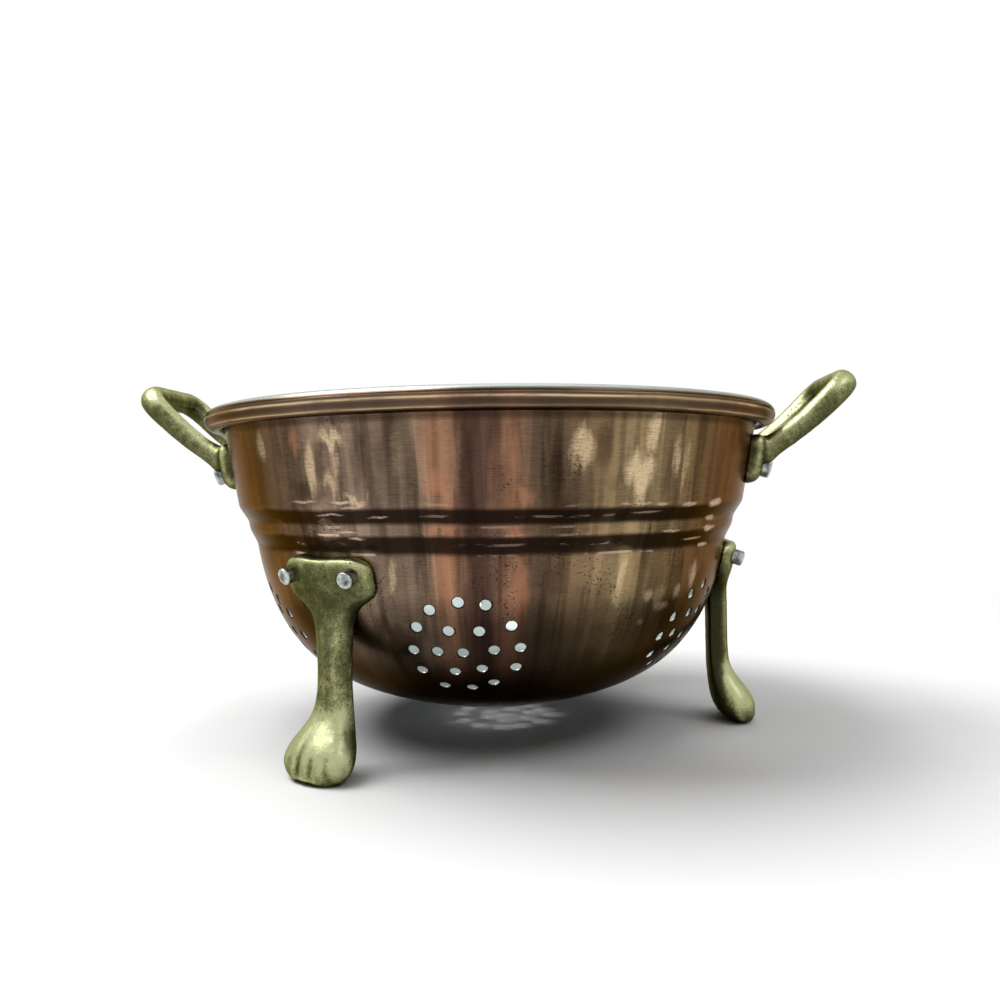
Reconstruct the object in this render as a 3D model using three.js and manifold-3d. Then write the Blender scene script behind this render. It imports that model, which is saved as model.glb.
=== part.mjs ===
// A small footed colander: a spun copper bowl with a rolled rim, punched with round clusters of
// drain holes, on three cast brass paw legs and with two cast brass loop handles, all riveted.
// Millimetres, +Z up. The origin is on the floor under the bowl's axis and +X runs through a handle.
import * as THREE from "three";
import { mergeVertices } from "three/addons/utils/BufferGeometryUtils.js";
import Module from "manifold-3d";

const wasm = await Module();
wasm.setup();

// The spun bowl
const sheet = 0.9; // thickness of the copper
const rimRadius = 100; // to the outside of the rolled rim
const rimTop = 110.7; // crest of the rolled rim above the floor
const rollRadius = 3.5; // outside radius of the roll
const rollMouth = 0.1; // slit between the end of the curl and the wall
const wallLean = 0.17; // how far the upper wall opens for each millimetre of height
const upperWallHeight = 28.8; // from the middle of the roll down to the upper step
const upperStepHeight = 4.7;
const upperStepDepth = 3;
const bandHeight = 3; // plain band between the two steps
const lowerStepHeight = 4.6;
const lowerStepDepth = 2.35;
const bottomHeight = 8.9; // underside of the bowl above the floor
const bottomRadius = 25; // flat of the bottom
const bottomRise = 0.3; // slope at which the side leaves the flat
const bottomSweep = 19; // how far that slope holds before the side turns up
const sideSweep = 48.6; // how far down the side keeps the slope of its top
const sideLean = 0.15; // slope at the top of the rounded side
const sideFacets = 8; // facets up the rounded side
const bowlFacets = 36; // facets round the bowl

// The drain holes: one hole, a ring of six and a ring of twelve make a cluster
const holeRadius = 1.65;
const innerRing = 8.3; // radius of the ring of six
const outerRing = 16.2; // radius of the ring of twelve
const clusterTurns = [-26, -90.5, -152.6, 148, 90, 32]; // clusters round the side, degrees from +X
const clusterHeight = 36.9; // middle of a side cluster above the floor
const holeFacets = 6;

// The rivets: a stud through the casting and the wall, with a flat button head inside the bowl
const plateRivetRadius = 3.1; // studs of the handles
const legRivetRadius = 2.8; // studs of the legs
const rivetProud = 3.2; // stud beyond the casting's face
const rivetEdge = 0.6; // bevel round the stud's end
const rivetHeadRadius = 5;
const rivetHeadHeight = 1.6;
const rivetFacets = 8;

// Clearances between the pieces
const seatGap = 0.3; // casting to wall, and button head to wall
const holeGap = 0.3; // stud to the side of its hole
const slack = 0.01; // edges shorter than this, left by a cut, are drawn together

// The loop handles
const plateWidth = 50; // measured round the wall
const plateHeight = 16.4;
const plateThickness = 4.8;
const plateCorner = 3; // rounding of the plate's four corners
const plateDrop = 14.8; // middle of the plate below the middle of the roll
const plateRivetDrop = 1.4; // rivets below the middle of the plate
const plateRivetInset = 7; // rivets from the plate's ends, round the wall
const strandRise = 1.8; // where the strands leave the plate, above its middle
const strandSpacing = 39.5; // between the middles of the two strands
const strandThickness = 6.4; // up and down, where the strands leave the plate
const strandWidth = 6.4;
const barThickness = 8.6; // of the far bar
const barWidth = 7;
const loopReach = 30.5; // from the wall out to the middle of the bar
const loopRise = 24.4; // from the strands' roots up to the middle of the bar
const loopCorner = 6; // radius of the loop's corners, at the middle of the casting
const rootSlope = 0.55; // rise for each millimetre out, where the strands leave the plate
const barSlope = 1.06; // and where they reach the bar

// The paw legs
const legRivetHeight = 60.4; // rivets above the floor
const headWidth = 34;
const legRivetInset = 5.4; // rivets from the head's sides, round the wall
const headRise = 4.1; // top of the head above the rivets
const headFall = 6; // straight side of the head below the rivets
const headCorner = 4.2;
const headThickness = 4.4;
const neckHeight = 44.8; // where the head has narrowed to the shank
const shankStandOff = 1; // back of the shank out from the wall at the neck
const shankWidth = 10.4;
const shankDepth = 6.6;
const ankleHeight = 20; // where the shank starts to swell into the paw
const pawWidth = 24;
const pawReach = 16.4; // from the back of the shank to the toe tips
const pawEdge = 0.3; // how far up the paw's side its widest place lies
const toeGroove = 0.16; // depth of the grooves between the four toes, as a share of the paw there
const soleTrim = 0.5; // filed off the toes so that they stand flat

const copper = new THREE.MeshStandardMaterial({ color: 0x9a5f3c, metalness: 1, roughness: 0.28 });
const brass = new THREE.MeshStandardMaterial({ color: 0xa39a52, metalness: 1, roughness: 0.45 });
const rivetMetal = new THREE.MeshStandardMaterial({ color: 0xa9adb0, metalness: 1, roughness: 0.4 });

const degree = Math.PI / 180;

// Solids

// A closed mesh as a solid that can be cut and joined
function solidOf(geometry) {
  const bare = new THREE.BufferGeometry();
  bare.setAttribute("position", geometry.getAttribute("position"));
  bare.setIndex(geometry.index);
  const merged = mergeVertices(bare, 1e-4);
  const corners = merged.index.array;
  const kept = [];
  for (let i = 0; i < corners.length; i += 3) {
    const [a, b, c] = [corners[i], corners[i + 1], corners[i + 2]];
    if (a !== b && b !== c && c !== a) kept.push(a, b, c);
  }
  return new wasm.Manifold(
    new wasm.Mesh({
      numProp: 3,
      vertProperties: merged.attributes.position.array,
      triVerts: new Uint32Array(kept),
    }),
  );
}

// A solid as the geometry of a mesh, with flat facets
function geometryOf(solid) {
  const mesh = solid.simplify(slack).getMesh();
  const geometry = new THREE.BufferGeometry();
  geometry.setAttribute("position", new THREE.BufferAttribute(mesh.vertProperties, 3));
  geometry.setIndex(new THREE.BufferAttribute(mesh.triVerts, 1));
  const faceted = geometry.toNonIndexed();
  faceted.computeVertexNormals();
  return faceted;
}

// A profile of [radius, height] pairs turned round +Z
function revolve(profile, facets) {
  const points = profile.map(([radius, height]) => new THREE.Vector2(radius, height));
  return new THREE.LatheGeometry(points, facets).rotateX(Math.PI / 2);
}

// Rings of points joined into one closed skin, with a fan over each end. Seen from the last ring,
// the points of a ring go round anticlockwise.
function loft(rings) {
  const count = rings[0].length;
  const points = rings.flat();
  const faces = [];
  for (let low = 0; low + count < points.length; low += count) {
    for (let i = 0; i < count; i++) {
      const next = (i + 1) % count;
      const high = low + count;
      faces.push(low + i, low + next, high + next, low + i, high + next, high + i);
    }
  }
  const middleOf = (ring) => {
    const sum = new THREE.Vector3();
    ring.forEach((point) => sum.add(point));
    return sum.divideScalar(count);
  };
  const lastRing = points.length - count;
  const firstMiddle = points.length;
  for (let i = 0; i < count; i++) {
    const next = (i + 1) % count;
    faces.push(firstMiddle, next, i, firstMiddle + 1, lastRing + i, lastRing + next);
  }
  const closed = [...points, middleOf(rings[0]), middleOf(rings[rings.length - 1])];
  const geometry = new THREE.BufferGeometry().setFromPoints(closed);
  geometry.setIndex(faces);
  return geometry;
}

// A cosine or sine bent towards the sides of a square: 2 keeps the circle
function squared(value, squareness) {
  return Math.sign(value) * Math.abs(value) ** (2 / squareness);
}

// The bowl's outside

const rollHeight = rimTop - rollRadius;
const rollMiddle = rimRadius - rollRadius;
const wallTopRadius = rimRadius - 2 * rollRadius + sheet;

// From the edge of the flat bottom up to the middle of the roll, as [radius, height] pairs
function outerProfile() {
  const upperTop = [wallTopRadius - wallLean * upperWallHeight, rollHeight - upperWallHeight];
  const upperFoot = [upperTop[0] - upperStepDepth, upperTop[1] - upperStepHeight];
  const lowerTop = [upperFoot[0] - wallLean * bandHeight, upperFoot[1] - bandHeight];
  const lowerFoot = [lowerTop[0] - lowerStepDepth, lowerTop[1] - lowerStepHeight];
  const side = new THREE.CubicBezierCurve(
    new THREE.Vector2(bottomRadius, bottomHeight),
    new THREE.Vector2(bottomRadius + bottomSweep, bottomHeight + bottomRise * bottomSweep),
    new THREE.Vector2(lowerFoot[0] - sideLean * sideSweep, lowerFoot[1] - sideSweep),
    new THREE.Vector2(...lowerFoot),
  );
  const rounded = side.getSpacedPoints(sideFacets).map((point) => point.toArray());
  return [...rounded, lowerTop, upperFoot, upperTop, [wallTopRadius, rollHeight]];
}

const outside = outerProfile();

// The wall at a height: its outer radius there and its outward normal, as [out, up]
function wallAt(height) {
  let k = 1;
  while (k < outside.length - 1 && outside[k][1] < height) k++;
  const [r0, z0] = outside[k - 1];
  const [r1, z1] = outside[k];
  const length = Math.hypot(r1 - r0, z1 - z0);
  return {
    radius: r0 + ((r1 - r0) * (height - z0)) / (z1 - z0),
    normal: [(z1 - z0) / length, -(r1 - r0) / length],
  };
}

// The outer profile moved out along its normals, or into the metal by a negative distance
function offsetProfile(distance) {
  return outside.map(([radius, height], k) => {
    const [r0, z0] = outside[Math.max(k - 1, 0)];
    const [r1, z1] = outside[Math.min(k + 1, outside.length - 1)];
    const length = Math.hypot(r1 - r0, z1 - z0);
    return [radius + (distance * (z1 - z0)) / length, height - (distance * (r1 - r0)) / length];
  });
}

// The bowl filled solid and grown by a gap: what a casting that sits on the wall is cut by
function filledBowl(gap) {
  const grown = offsetProfile(gap);
  const bottom = [0, grown[0][1]];
  const top = [0, grown[grown.length - 1][1]];
  return solidOf(revolve([bottom, ...grown, top], bowlFacets));
}

// Places on the wall

// A frame at an angle and a height whose +Z leaves the wall along its normal
function wallFrame(angle, height) {
  const { radius, normal } = wallAt(height);
  const frame = new THREE.Object3D();
  frame.position.set(radius * Math.cos(angle), radius * Math.sin(angle), height);
  frame.rotation.set(0, Math.atan2(normal[0], normal[1]), angle, "ZYX");
  frame.updateMatrix();
  return frame;
}

// Two frames to both sides of an angle, a spacing apart round the wall
function pairOnWall(angle, height, spacing) {
  const half = spacing / 2 / wallAt(height).radius;
  return [wallFrame(angle - half, height), wallFrame(angle + half, height)];
}

// A round cutter along a frame's +Z, reaching as far to both sides of the wall
function drill(frame, radius, reach, facets) {
  const rod = revolve([[0, -reach], [radius, -reach], [radius, reach], [0, reach]], facets);
  return solidOf(rod.applyMatrix4(frame.matrix));
}

// The castings stand round the bowl: handles at both ends of the X axis, one leg under a handle
const plateMiddle = rollHeight - plateDrop;
const plateRivetHeight = plateMiddle - plateRivetDrop;
const handlePlaces = [
  { name: "handle_right", angle: 0 },
  { name: "handle_left", angle: Math.PI },
];
const legPlaces = [
  { name: "leg_right", angle: 0 },
  { name: "leg_back_left", angle: 120 * degree },
  { name: "leg_front_left", angle: 240 * degree },
];
const handleRivets = (angle) =>
  pairOnWall(angle, plateRivetHeight, plateWidth - 2 * plateRivetInset);
const legRivets = (angle) => pairOnWall(angle, legRivetHeight, headWidth - 2 * legRivetInset);

// A hole through the wall and the casting for a rivet
function rivetHole(frame, radius) {
  const reach = 2 * (Math.max(plateThickness, headThickness) + rivetProud);
  return drill(frame, radius + holeGap, reach, rivetFacets);
}

const handleRivetHoles = (angle) =>
  handleRivets(angle).map((frame) => rivetHole(frame, plateRivetRadius));
const legRivetHoles = (angle) =>
  legRivets(angle).map((frame) => rivetHole(frame, legRivetRadius));

// The bowl

// The height reached by going a distance up the wall, along its slope, from the clusters' middle
function heightUpWall(distance) {
  const step = Math.sign(distance) * 0.5;
  let height = clusterHeight;
  for (let gone = 0; gone < Math.abs(distance); gone += 0.5) {
    const part = Math.min(Math.abs(distance) - gone, 0.5) / 0.5;
    height += step * part * wallAt(height).normal[0];
  }
  return height;
}

// The places of the holes in a cluster, as [up, across]
function clusterPlaces() {
  const ring = (count, radius, firstAngle) =>
    Array.from({ length: count }, (_, k) => {
      const angle = firstAngle + (2 * Math.PI * k) / count;
      return [radius * Math.cos(angle), radius * Math.sin(angle)];
    });
  return [[0, 0], ...ring(6, innerRing, 30 * degree), ...ring(12, outerRing, 0)];
}

function drainHoles() {
  const reach = 3 * sheet;
  const holes = [];
  for (const turn of clusterTurns) {
    const angle = turn * degree;
    for (const [up, across] of clusterPlaces()) {
      const height = heightUpWall(up);
      const frame = wallFrame(angle + across / wallAt(height).radius, height);
      holes.push(drill(frame, holeRadius, reach, holeFacets));
    }
  }
  for (const [x, y] of clusterPlaces()) {
    const frame = new THREE.Object3D();
    frame.position.set(x, y, bottomHeight);
    frame.updateMatrix();
    holes.push(drill(frame, holeRadius, reach, holeFacets));
  }
  return holes;
}

// The rim's curl: the sheet turns out and over, and its edge comes back nearly to the wall
function rollArc(radius, facetsOver, facetsUnder) {
  const end = Math.acos((rollRadius - sheet - rollMouth) / rollRadius) - Math.PI;
  const over = Array.from({ length: facetsOver }, (_, k) => Math.PI * (1 - k / facetsOver));
  const under = Array.from({ length: facetsUnder + 1 }, (_, k) => (end * k) / facetsUnder);
  return [...over, ...under].map((angle) => [
    rollMiddle + radius * Math.cos(angle),
    rollHeight + radius * Math.sin(angle),
  ]);
}

function bowl() {
  const profile = [
    [0, bottomHeight],
    ...outside.slice(0, -1),
    ...rollArc(rollRadius - sheet, 3, 3),
    ...rollArc(rollRadius, 6, 4).reverse(),
    ...offsetProfile(-sheet).slice(0, -1).reverse(),
    [0, bottomHeight + sheet],
  ];
  const holes = wasm.Manifold.union([
    ...drainHoles(),
    ...handlePlaces.flatMap(({ angle }) => handleRivetHoles(angle)),
    ...legPlaces.flatMap(({ angle }) => legRivetHoles(angle)),
  ]);
  return solidOf(revolve(profile, bowlFacets)).subtract(holes);
}

// A rivet along its frame's +Z, which starts on the outside of the wall
function rivet(radius, castingThickness) {
  const facetSag = rimRadius * (1 - Math.cos(Math.PI / bowlFacets));
  const seat = -sheet - seatGap - facetSag;
  const low = seat - rivetHeadHeight;
  const tip = seatGap + castingThickness + rivetProud;
  return revolve(
    [
      [0, low],
      [0.7 * rivetHeadRadius, low],
      [rivetHeadRadius, seat],
      [radius, seat],
      [radius, tip - rivetEdge],
      [radius - rivetEdge, tip],
      [0, tip],
    ],
    rivetFacets,
  );
}

// The legs

const shankBack = wallAt(neckHeight).radius + shankStandOff;

// One ring of a leg. Its back lies at "back" and its front bulges out to "front", both as [out, up]
// in the leg's middle plane. A bend of 1 wraps it round the bowl's axis. The edge is how far up the
// side its widest place lies, and the groove is the dent between one toe and the next.
function legRing({ back, front, halfWidth, squareness, bend = 0, edge = 0, groove = 0 }) {
  const frontFacets = 12;
  const backFacets = 4;
  const facetsPerToe = 3;
  const ring = [];
  const place = (across, share) => {
    const out = back[0] + (front[0] - back[0]) * share;
    const up = back[1] + (front[1] - back[1]) * share;
    const wrapped = Math.sqrt(Math.max(out * out - across * across, 0));
    ring.push(new THREE.Vector3(out + bend * (wrapped - out), across, up));
  };
  for (let k = 0; k <= frontFacets; k++) {
    const angle = (Math.PI * k) / frontFacets;
    const betweenToes = k % facetsPerToe === 0 && k > 0 && k < frontFacets;
    const left = betweenToes ? 1 - groove : 1;
    const bulge = squared(Math.sin(angle), squareness);
    place(-halfWidth * squared(Math.cos(angle), squareness) * left, edge + (1 - edge) * bulge * left);
  }
  for (let k = 1; k < backFacets; k++) {
    const angle = (Math.PI * k) / backFacets;
    place(halfWidth * Math.cos(angle), edge * (1 - squared(Math.sin(angle), squareness)));
  }
  return ring;
}

// The paw and ankle, from the toe tips up. Each row gives, as shares of the paw's own sizes, how far
// out and up the sole is, how far out past the shank and up the instep is, how much of the paw's
// width there is and how deep the grooves are.
const pawRows = [
  [0.8, 0.01, 0.93, 0.1, 0.05, 0.6],
  [0.66, 0, 0.95, 0.25, 0.6, 1],
  [0.52, 0.04, 0.89, 0.4, 0.91, 0.9],
  [0.38, 0.12, 0.72, 0.54, 1, 0.6],
  [0.24, 0.21, 0.46, 0.69, 0.92, 0.3],
  [0.12, 0.33, 0.26, 0.81, 0.67, 0],
  [0.05, 0.55, 0.1, 0.91, 0.42, 0],
  [0.01, 0.77, 0.02, 1, 0.18, 0],
];

function pawRings() {
  const height = (share) => share * (ankleHeight + soleTrim) - soleTrim;
  return pawRows.map(([soleOut, soleUp, instepOut, instepUp, swelling, groove]) =>
    legRing({
      back: [shankBack + soleOut * pawReach, height(soleUp)],
      front: [shankBack + shankDepth + instepOut * (pawReach - shankDepth), height(instepUp)],
      halfWidth: (shankWidth + swelling * (pawWidth - shankWidth)) / 2,
      squareness: 2.3,
      edge: pawEdge * Math.min(1, swelling + groove),
      groove: toeGroove * groove,
    }),
  );
}

// The shank goes straight up, flat behind and round in front
function shankRings() {
  const heights = [ankleHeight + shankDepth / 2, (ankleHeight + neckHeight) / 2];
  return heights.map((height) =>
    legRing({
      back: [shankBack, height],
      front: [shankBack + shankDepth, height],
      halfWidth: shankWidth / 2,
      squareness: 2.4,
    }),
  );
}

// The head is a T that lies on the wall: drawn in to the shank below and rounded at its top corners
function headRings() {
  const sink = 1; // the back starts inside the wall and is then cut to it
  const foot = legRivetHeight - headFall;
  const shoulder = legRivetHeight + headRise - headCorner;
  const ringAt = (height, halfWidth, flatness) => {
    const wall = wallAt(height);
    const face = wall.radius + (seatGap + headThickness) / wall.normal[0];
    const mix = (shankValue, headValue) => shankValue + (headValue - shankValue) * flatness;
    return legRing({
      back: [mix(shankBack, wall.radius - sink), height],
      front: [mix(shankBack + shankDepth, face), height],
      halfWidth,
      squareness: mix(2.4, 6),
      bend: flatness,
    });
  };
  const gathered = [0, 0.3, 0.55, 0.75, 0.9, 1].map((share) => {
    const halfWidth = (shankWidth + (headWidth - shankWidth) * share ** 2) / 2;
    return ringAt(neckHeight + (foot - neckHeight) * share, halfWidth, share);
  });
  const rounded = [0, 30, 60, 85].map((turn) => {
    const inset = headCorner * (1 - Math.cos(turn * degree));
    return ringAt(shoulder + headCorner * Math.sin(turn * degree), headWidth / 2 - inset, 1);
  });
  return [...gathered, ...rounded];
}

function leg() {
  const cast = solidOf(loft([...pawRings(), ...shankRings(), ...headRings()]));
  const span = 2 * (shankBack + pawReach);
  const floor = solidOf(new THREE.BoxGeometry(span, span, span).translate(0, 0, -span / 2));
  return cast.subtract(wasm.Manifold.union([filledBowl(seatGap), floor, ...legRivetHoles(0)]));
}

// The handles

// The plate, lofted round the wall from one end to the other, with rounded corners and edges
function plateRings() {
  const sink = 1; // the back starts inside the wall and is then cut to it
  const squareness = 5;
  const facets = 8;
  const ringAt = (across, halfHeight, fullness) => {
    const angle = across / wallAt(plateMiddle).radius;
    return Array.from({ length: facets + 1 }, (_, k) => {
      const turn = (Math.PI * k) / facets;
      const height = plateMiddle + halfHeight * squared(Math.cos(turn), squareness);
      const wall = wallAt(height);
      const depth = (seatGap + plateThickness) * fullness + sink;
      const proud = (depth * squared(Math.sin(turn), squareness) - sink) / wall.normal[0];
      const radius = wall.radius + proud;
      return new THREE.Vector3(radius * Math.cos(angle), radius * Math.sin(angle), height);
    });
  };
  const straight = plateWidth / 2 - plateCorner;
  const end = [0, 30, 60].map((turn) => {
    const turned = Math.sin(turn * degree);
    const across = straight + plateCorner * Math.cos(turn * degree);
    return [across, plateHeight / 2 - plateCorner * (1 - turned), 0.6 + 0.4 * turned];
  });
  const middle = [-1, -0.5, 0, 0.5, 1].map((share) => [share * straight, plateHeight / 2, 1]);
  const start = end.map(([across, ...rest]) => [-across, ...rest]);
  return [...start, ...middle, ...end.reverse()].map((values) => ringAt(...values));
}

// The loop: two strands that rise from the plate and a far bar, lofted as one bent bar
function loopRings() {
  const facets = 8;
  const stations = 24;
  const rootHeight = plateMiddle + strandRise;
  const wallRadius = wallAt(rootHeight).radius;
  const rootOut = wallRadius + seatGap + plateThickness / 2;
  const barOut = wallRadius + loopReach;
  const barHeight = rootHeight + loopRise;
  const third = Math.hypot(barOut - rootOut, loopRise) / 3;
  const rootRun = third / Math.hypot(1, rootSlope);
  const barRun = third / Math.hypot(1, barSlope);
  const side = new THREE.CubicBezierCurve(
    new THREE.Vector2(rootOut, rootHeight),
    new THREE.Vector2(rootOut + rootRun, rootHeight + rootSlope * rootRun),
    new THREE.Vector2(barOut - barRun, barHeight - barSlope * barRun),
    new THREE.Vector2(barOut, barHeight),
  );
  const length = side.getLength();
  const half = strandSpacing / 2;
  const turn = length - loopCorner;
  const flat = new THREE.Path()
    .moveTo(-half, 0)
    .lineTo(-half, turn)
    .absarc(loopCorner - half, turn, loopCorner, Math.PI, Math.PI / 2, true)
    .lineTo(half - loopCorner, length)
    .absarc(half - loopCorner, turn, loopCorner, Math.PI / 2, 0, true)
    .lineTo(half, 0);
  return Array.from({ length: stations + 1 }, (_, k) => {
    const [across, along] = flat.getPointAt(k / stations).toArray();
    const share = Math.min(Math.max(along / length, 0), 1);
    const [out, up] = side.getPointAt(share).toArray();
    const [runOut, runUp] = side.getTangentAt(share).toArray();
    const [stepAcross, stepAlong] = flat.getTangentAt(k / stations).toArray();
    const middle = new THREE.Vector3(out, across, up);
    const above = new THREE.Vector3(-runUp, 0, runOut);
    const ahead = new THREE.Vector3(runOut * stepAlong, stepAcross, runUp * stepAlong);
    const beside = ahead.clone().cross(above);
    const halfThickness = (strandThickness + (barThickness - strandThickness) * share) / 2;
    const halfBreadth = (strandWidth + (barWidth - strandWidth) * share) / 2;
    return Array.from({ length: facets }, (_, i) => {
      const angle = (2 * Math.PI * i) / facets;
      return middle
        .clone()
        .addScaledVector(above, halfThickness * Math.cos(angle))
        .addScaledVector(beside, halfBreadth * Math.sin(angle));
    });
  });
}

function handle() {
  const cast = solidOf(loft(plateRings())).add(solidOf(loft(loopRings())));
  return cast.subtract(wasm.Manifold.union([filledBowl(seatGap), ...handleRivetHoles(0)]));
}

// The whole colander

const root = new THREE.Group();

function place(name, geometry, material, angle = 0) {
  const mesh = new THREE.Mesh(geometry, material);
  mesh.name = name;
  mesh.rotation.z = angle;
  root.add(mesh);
}

function placeRivets(casting, frames, geometry) {
  const ends = ["a", "b"];
  frames.forEach((frame, k) => {
    const mesh = new THREE.Mesh(geometry, rivetMetal);
    mesh.name = `${casting}_rivet_${ends[k]}`;
    mesh.position.copy(frame.position);
    mesh.quaternion.copy(frame.quaternion);
    root.add(mesh);
  });
}

place("bowl", geometryOf(bowl()), copper);
const handleGeometry = geometryOf(handle());
const handleRivet = rivet(plateRivetRadius, plateThickness);
for (const { name, angle } of handlePlaces) {
  place(name, handleGeometry, brass, angle);
  placeRivets(name, handleRivets(angle), handleRivet);
}
const legGeometry = geometryOf(leg());
const legRivet = rivet(legRivetRadius, headThickness);
for (const { name, angle } of legPlaces) {
  place(name, legGeometry, brass, angle);
  placeRivets(name, legRivets(angle), legRivet);
}

export default root;
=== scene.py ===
import math

import bpy
import numpy as np
from bpy.props import FloatProperty, FloatVectorProperty, IntProperty, PointerProperty
from mathutils import Matrix, Vector, noise


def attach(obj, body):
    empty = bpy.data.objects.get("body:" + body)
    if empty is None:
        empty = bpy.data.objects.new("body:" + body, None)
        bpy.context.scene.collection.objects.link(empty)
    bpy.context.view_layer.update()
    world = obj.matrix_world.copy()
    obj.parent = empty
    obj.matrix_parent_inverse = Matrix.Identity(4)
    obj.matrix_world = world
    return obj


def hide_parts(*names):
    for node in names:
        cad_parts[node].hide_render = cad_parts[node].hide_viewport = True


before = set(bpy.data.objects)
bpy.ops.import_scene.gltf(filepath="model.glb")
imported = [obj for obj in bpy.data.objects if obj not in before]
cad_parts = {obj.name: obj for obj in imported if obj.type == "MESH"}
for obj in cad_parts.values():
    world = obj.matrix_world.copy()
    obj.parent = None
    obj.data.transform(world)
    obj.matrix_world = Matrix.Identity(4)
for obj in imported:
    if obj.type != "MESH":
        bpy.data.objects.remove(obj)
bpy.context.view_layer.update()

bl_info = {
    "name": "Footed copper colander",
    "version": (1, 0, 0),
    "blender": (4, 5, 0),
    "location": "View3D > Sidebar > Colander",
    "description": "Makes a small copper colander on cast brass paw legs",
    "category": "Add Mesh",
}

mm = 0.001
BODY = "root"

# Places of the castings and hole clusters round the bowl, in degrees from +X
HANDLES = {"handle_right": 0, "handle_left": 180}
LEGS = {"leg_right": 0, "leg_back_left": 120, "leg_front_left": 240}
CLUSTERS = (-26, -90.5, -152.6, 148, 90, 32)

# The front of the bowl, which the camera faces and round which the painted reflections are laid out,
# in degrees from -Y
FRONT = 5.95

# Radii of the two rings of a hole cluster, and how much wider a hole is at its turned edge
HOLE_RINGS = (8.3 * mm, 16.2 * mm)
EDGE_FLARE = 1.23

# How far, in mm up and across, each hand-punched hole sits from its regular place. A scratch
# program worked these out from the front cluster of the photograph
HOLE_SLIPS = (
    (-0.6, -0.5), (-0.1, 0.5), (0.4, 0.2), (0.0, 0.3), (-1.4, 0.5), (-0.2, 0.3), (0.0, 0.0),
    (0.2, -0.8), (1.5, -1.2), (0.7, -0.1), (1.1, -0.1), (1.4, 0.3), (-0.2, -0.8), (-1.0, 0.6),
    (-2.2, 0.4), (-0.2, 0.3), (0.1, 0.9), (0.2, 0.5), (-0.1, -1.1))

# How far off the middle the toes of each paw were cut, in mm
TOE_SHIFTS = {"leg_right": 0, "leg_back_left": -1, "leg_front_left": 3.3}

# The lines between the toes, in mm: across at the floor and at the top, height, width, depth
TOE_LINES = ((-5.6, -4.6, 14, 1.3, 0.5), (-0.4, 0, 11.5, 1.2, 0.3), (5.2, 4.4, 12, 1.2, 0.38))

# The hollows up a shank, in mm: across at the foot and at the top, from and to, width, depth
SHANK_HOLLOWS = ((-1.8, -2.2, 20, 50, 1.3, 0.1), (1.8, 1.5, 19, 46, 1.2, 0.09))

# A shank's back from the bowl's axis, its depth, and its ankle above the floor, in mm
SHANK_BACK = 78.0
SHANK_DEPTH = 6.6
ANKLE = 20.0

# How square a section is: 2 is round
SHANK_SQUARENESS = 2.3
HEAD_SQUARENESS = 3.8
PLATE_SQUARENESS = 3.6

# Between the middles of a handle's two strands
LOOP_SPACING = 39.5 * mm

# The castings' gap to the wall, the grid they are rounded on and the size of their grain
SEAT_GAP = 0.06 * mm
CASTING_GRID = 0.42 * mm
CASTING_GRAIN = 3.5 * mm

# The lamps: name, place in metres, size in metres and power in watts
LAMPS = (
    ("key_lamp", (-0.65, 0.0, 1.2), 0.85, 15.5), ("side_lamp", (0.8, -0.4, 1.2), 0.5, 1.6),
    ("back_lamp", (0.1, 0.8, 1.2), 0.6, 0.8))


class BowlSizes(bpy.types.PropertyGroup):
    """Sizes of the spun bowl and its drain holes"""

    rim_radius: FloatProperty(
        name="Rim radius", description="To the outside of the rolled rim",
        default=100 * mm, unit="LENGTH", precision=4)
    rim_top: FloatProperty(
        name="Rim height", description="Crest of the rolled rim above the floor",
        default=110.7 * mm, unit="LENGTH", precision=4)
    roll_radius: FloatProperty(
        name="Roll radius", description="Outside radius of the rolled rim's curl",
        default=3.5 * mm, unit="LENGTH", precision=4)
    sheet: FloatProperty(
        name="Sheet", description="Thickness of the copper",
        default=0.9 * mm, unit="LENGTH", precision=4)
    bottom: FloatProperty(
        name="Bottom height", description="Underside of the bowl above the floor",
        default=8.9 * mm, unit="LENGTH", precision=4)
    hole_radius: FloatProperty(
        name="Hole radius", description="Radius of a drain hole",
        default=1.65 * mm, unit="LENGTH", precision=4)
    cluster_height: FloatProperty(
        name="Cluster height", description="Middle of a cluster of holes above the floor",
        default=36.9 * mm, unit="LENGTH", precision=4)
    facets: IntProperty(
        name="Facets", description="Facets round the bowl", default=180, min=36, max=360)


class CastingSizes(bpy.types.PropertyGroup):
    """Sizes of the cast brass handles and legs and of their rivets"""

    plate_width: FloatProperty(
        name="Plate width", description="Handle plate, measured round the wall",
        default=50 * mm, unit="LENGTH", precision=4)
    plate_height: FloatProperty(
        name="Plate height", description="Height of the handle plate",
        default=16.4 * mm, unit="LENGTH", precision=4)
    plate_middle: FloatProperty(
        name="Plate middle", description="Middle of the handle plate above the floor",
        default=92.4 * mm, unit="LENGTH", precision=4)
    loop_reach: FloatProperty(
        name="Loop reach", description="From the wall out to the middle of the loop's bar",
        default=30.2 * mm, unit="LENGTH", precision=4)
    loop_rise: FloatProperty(
        name="Loop rise", description="From the strands' roots up to the middle of the bar",
        default=23.1 * mm, unit="LENGTH", precision=4)
    head_width: FloatProperty(
        name="Head width", description="Width of a leg's head",
        default=34 * mm, unit="LENGTH", precision=4)
    leg_rivet_height: FloatProperty(
        name="Leg rivet height", description="Rivets of the legs above the floor",
        default=60.4 * mm, unit="LENGTH", precision=4)
    paw_width: FloatProperty(
        name="Paw width", description="Width of a paw",
        default=24.7 * mm, unit="LENGTH", precision=4)
    grain: FloatProperty(
        name="Cast grain", description="Unevenness of the cast surfaces",
        default=0.07 * mm, unit="LENGTH", precision=5)


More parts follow.
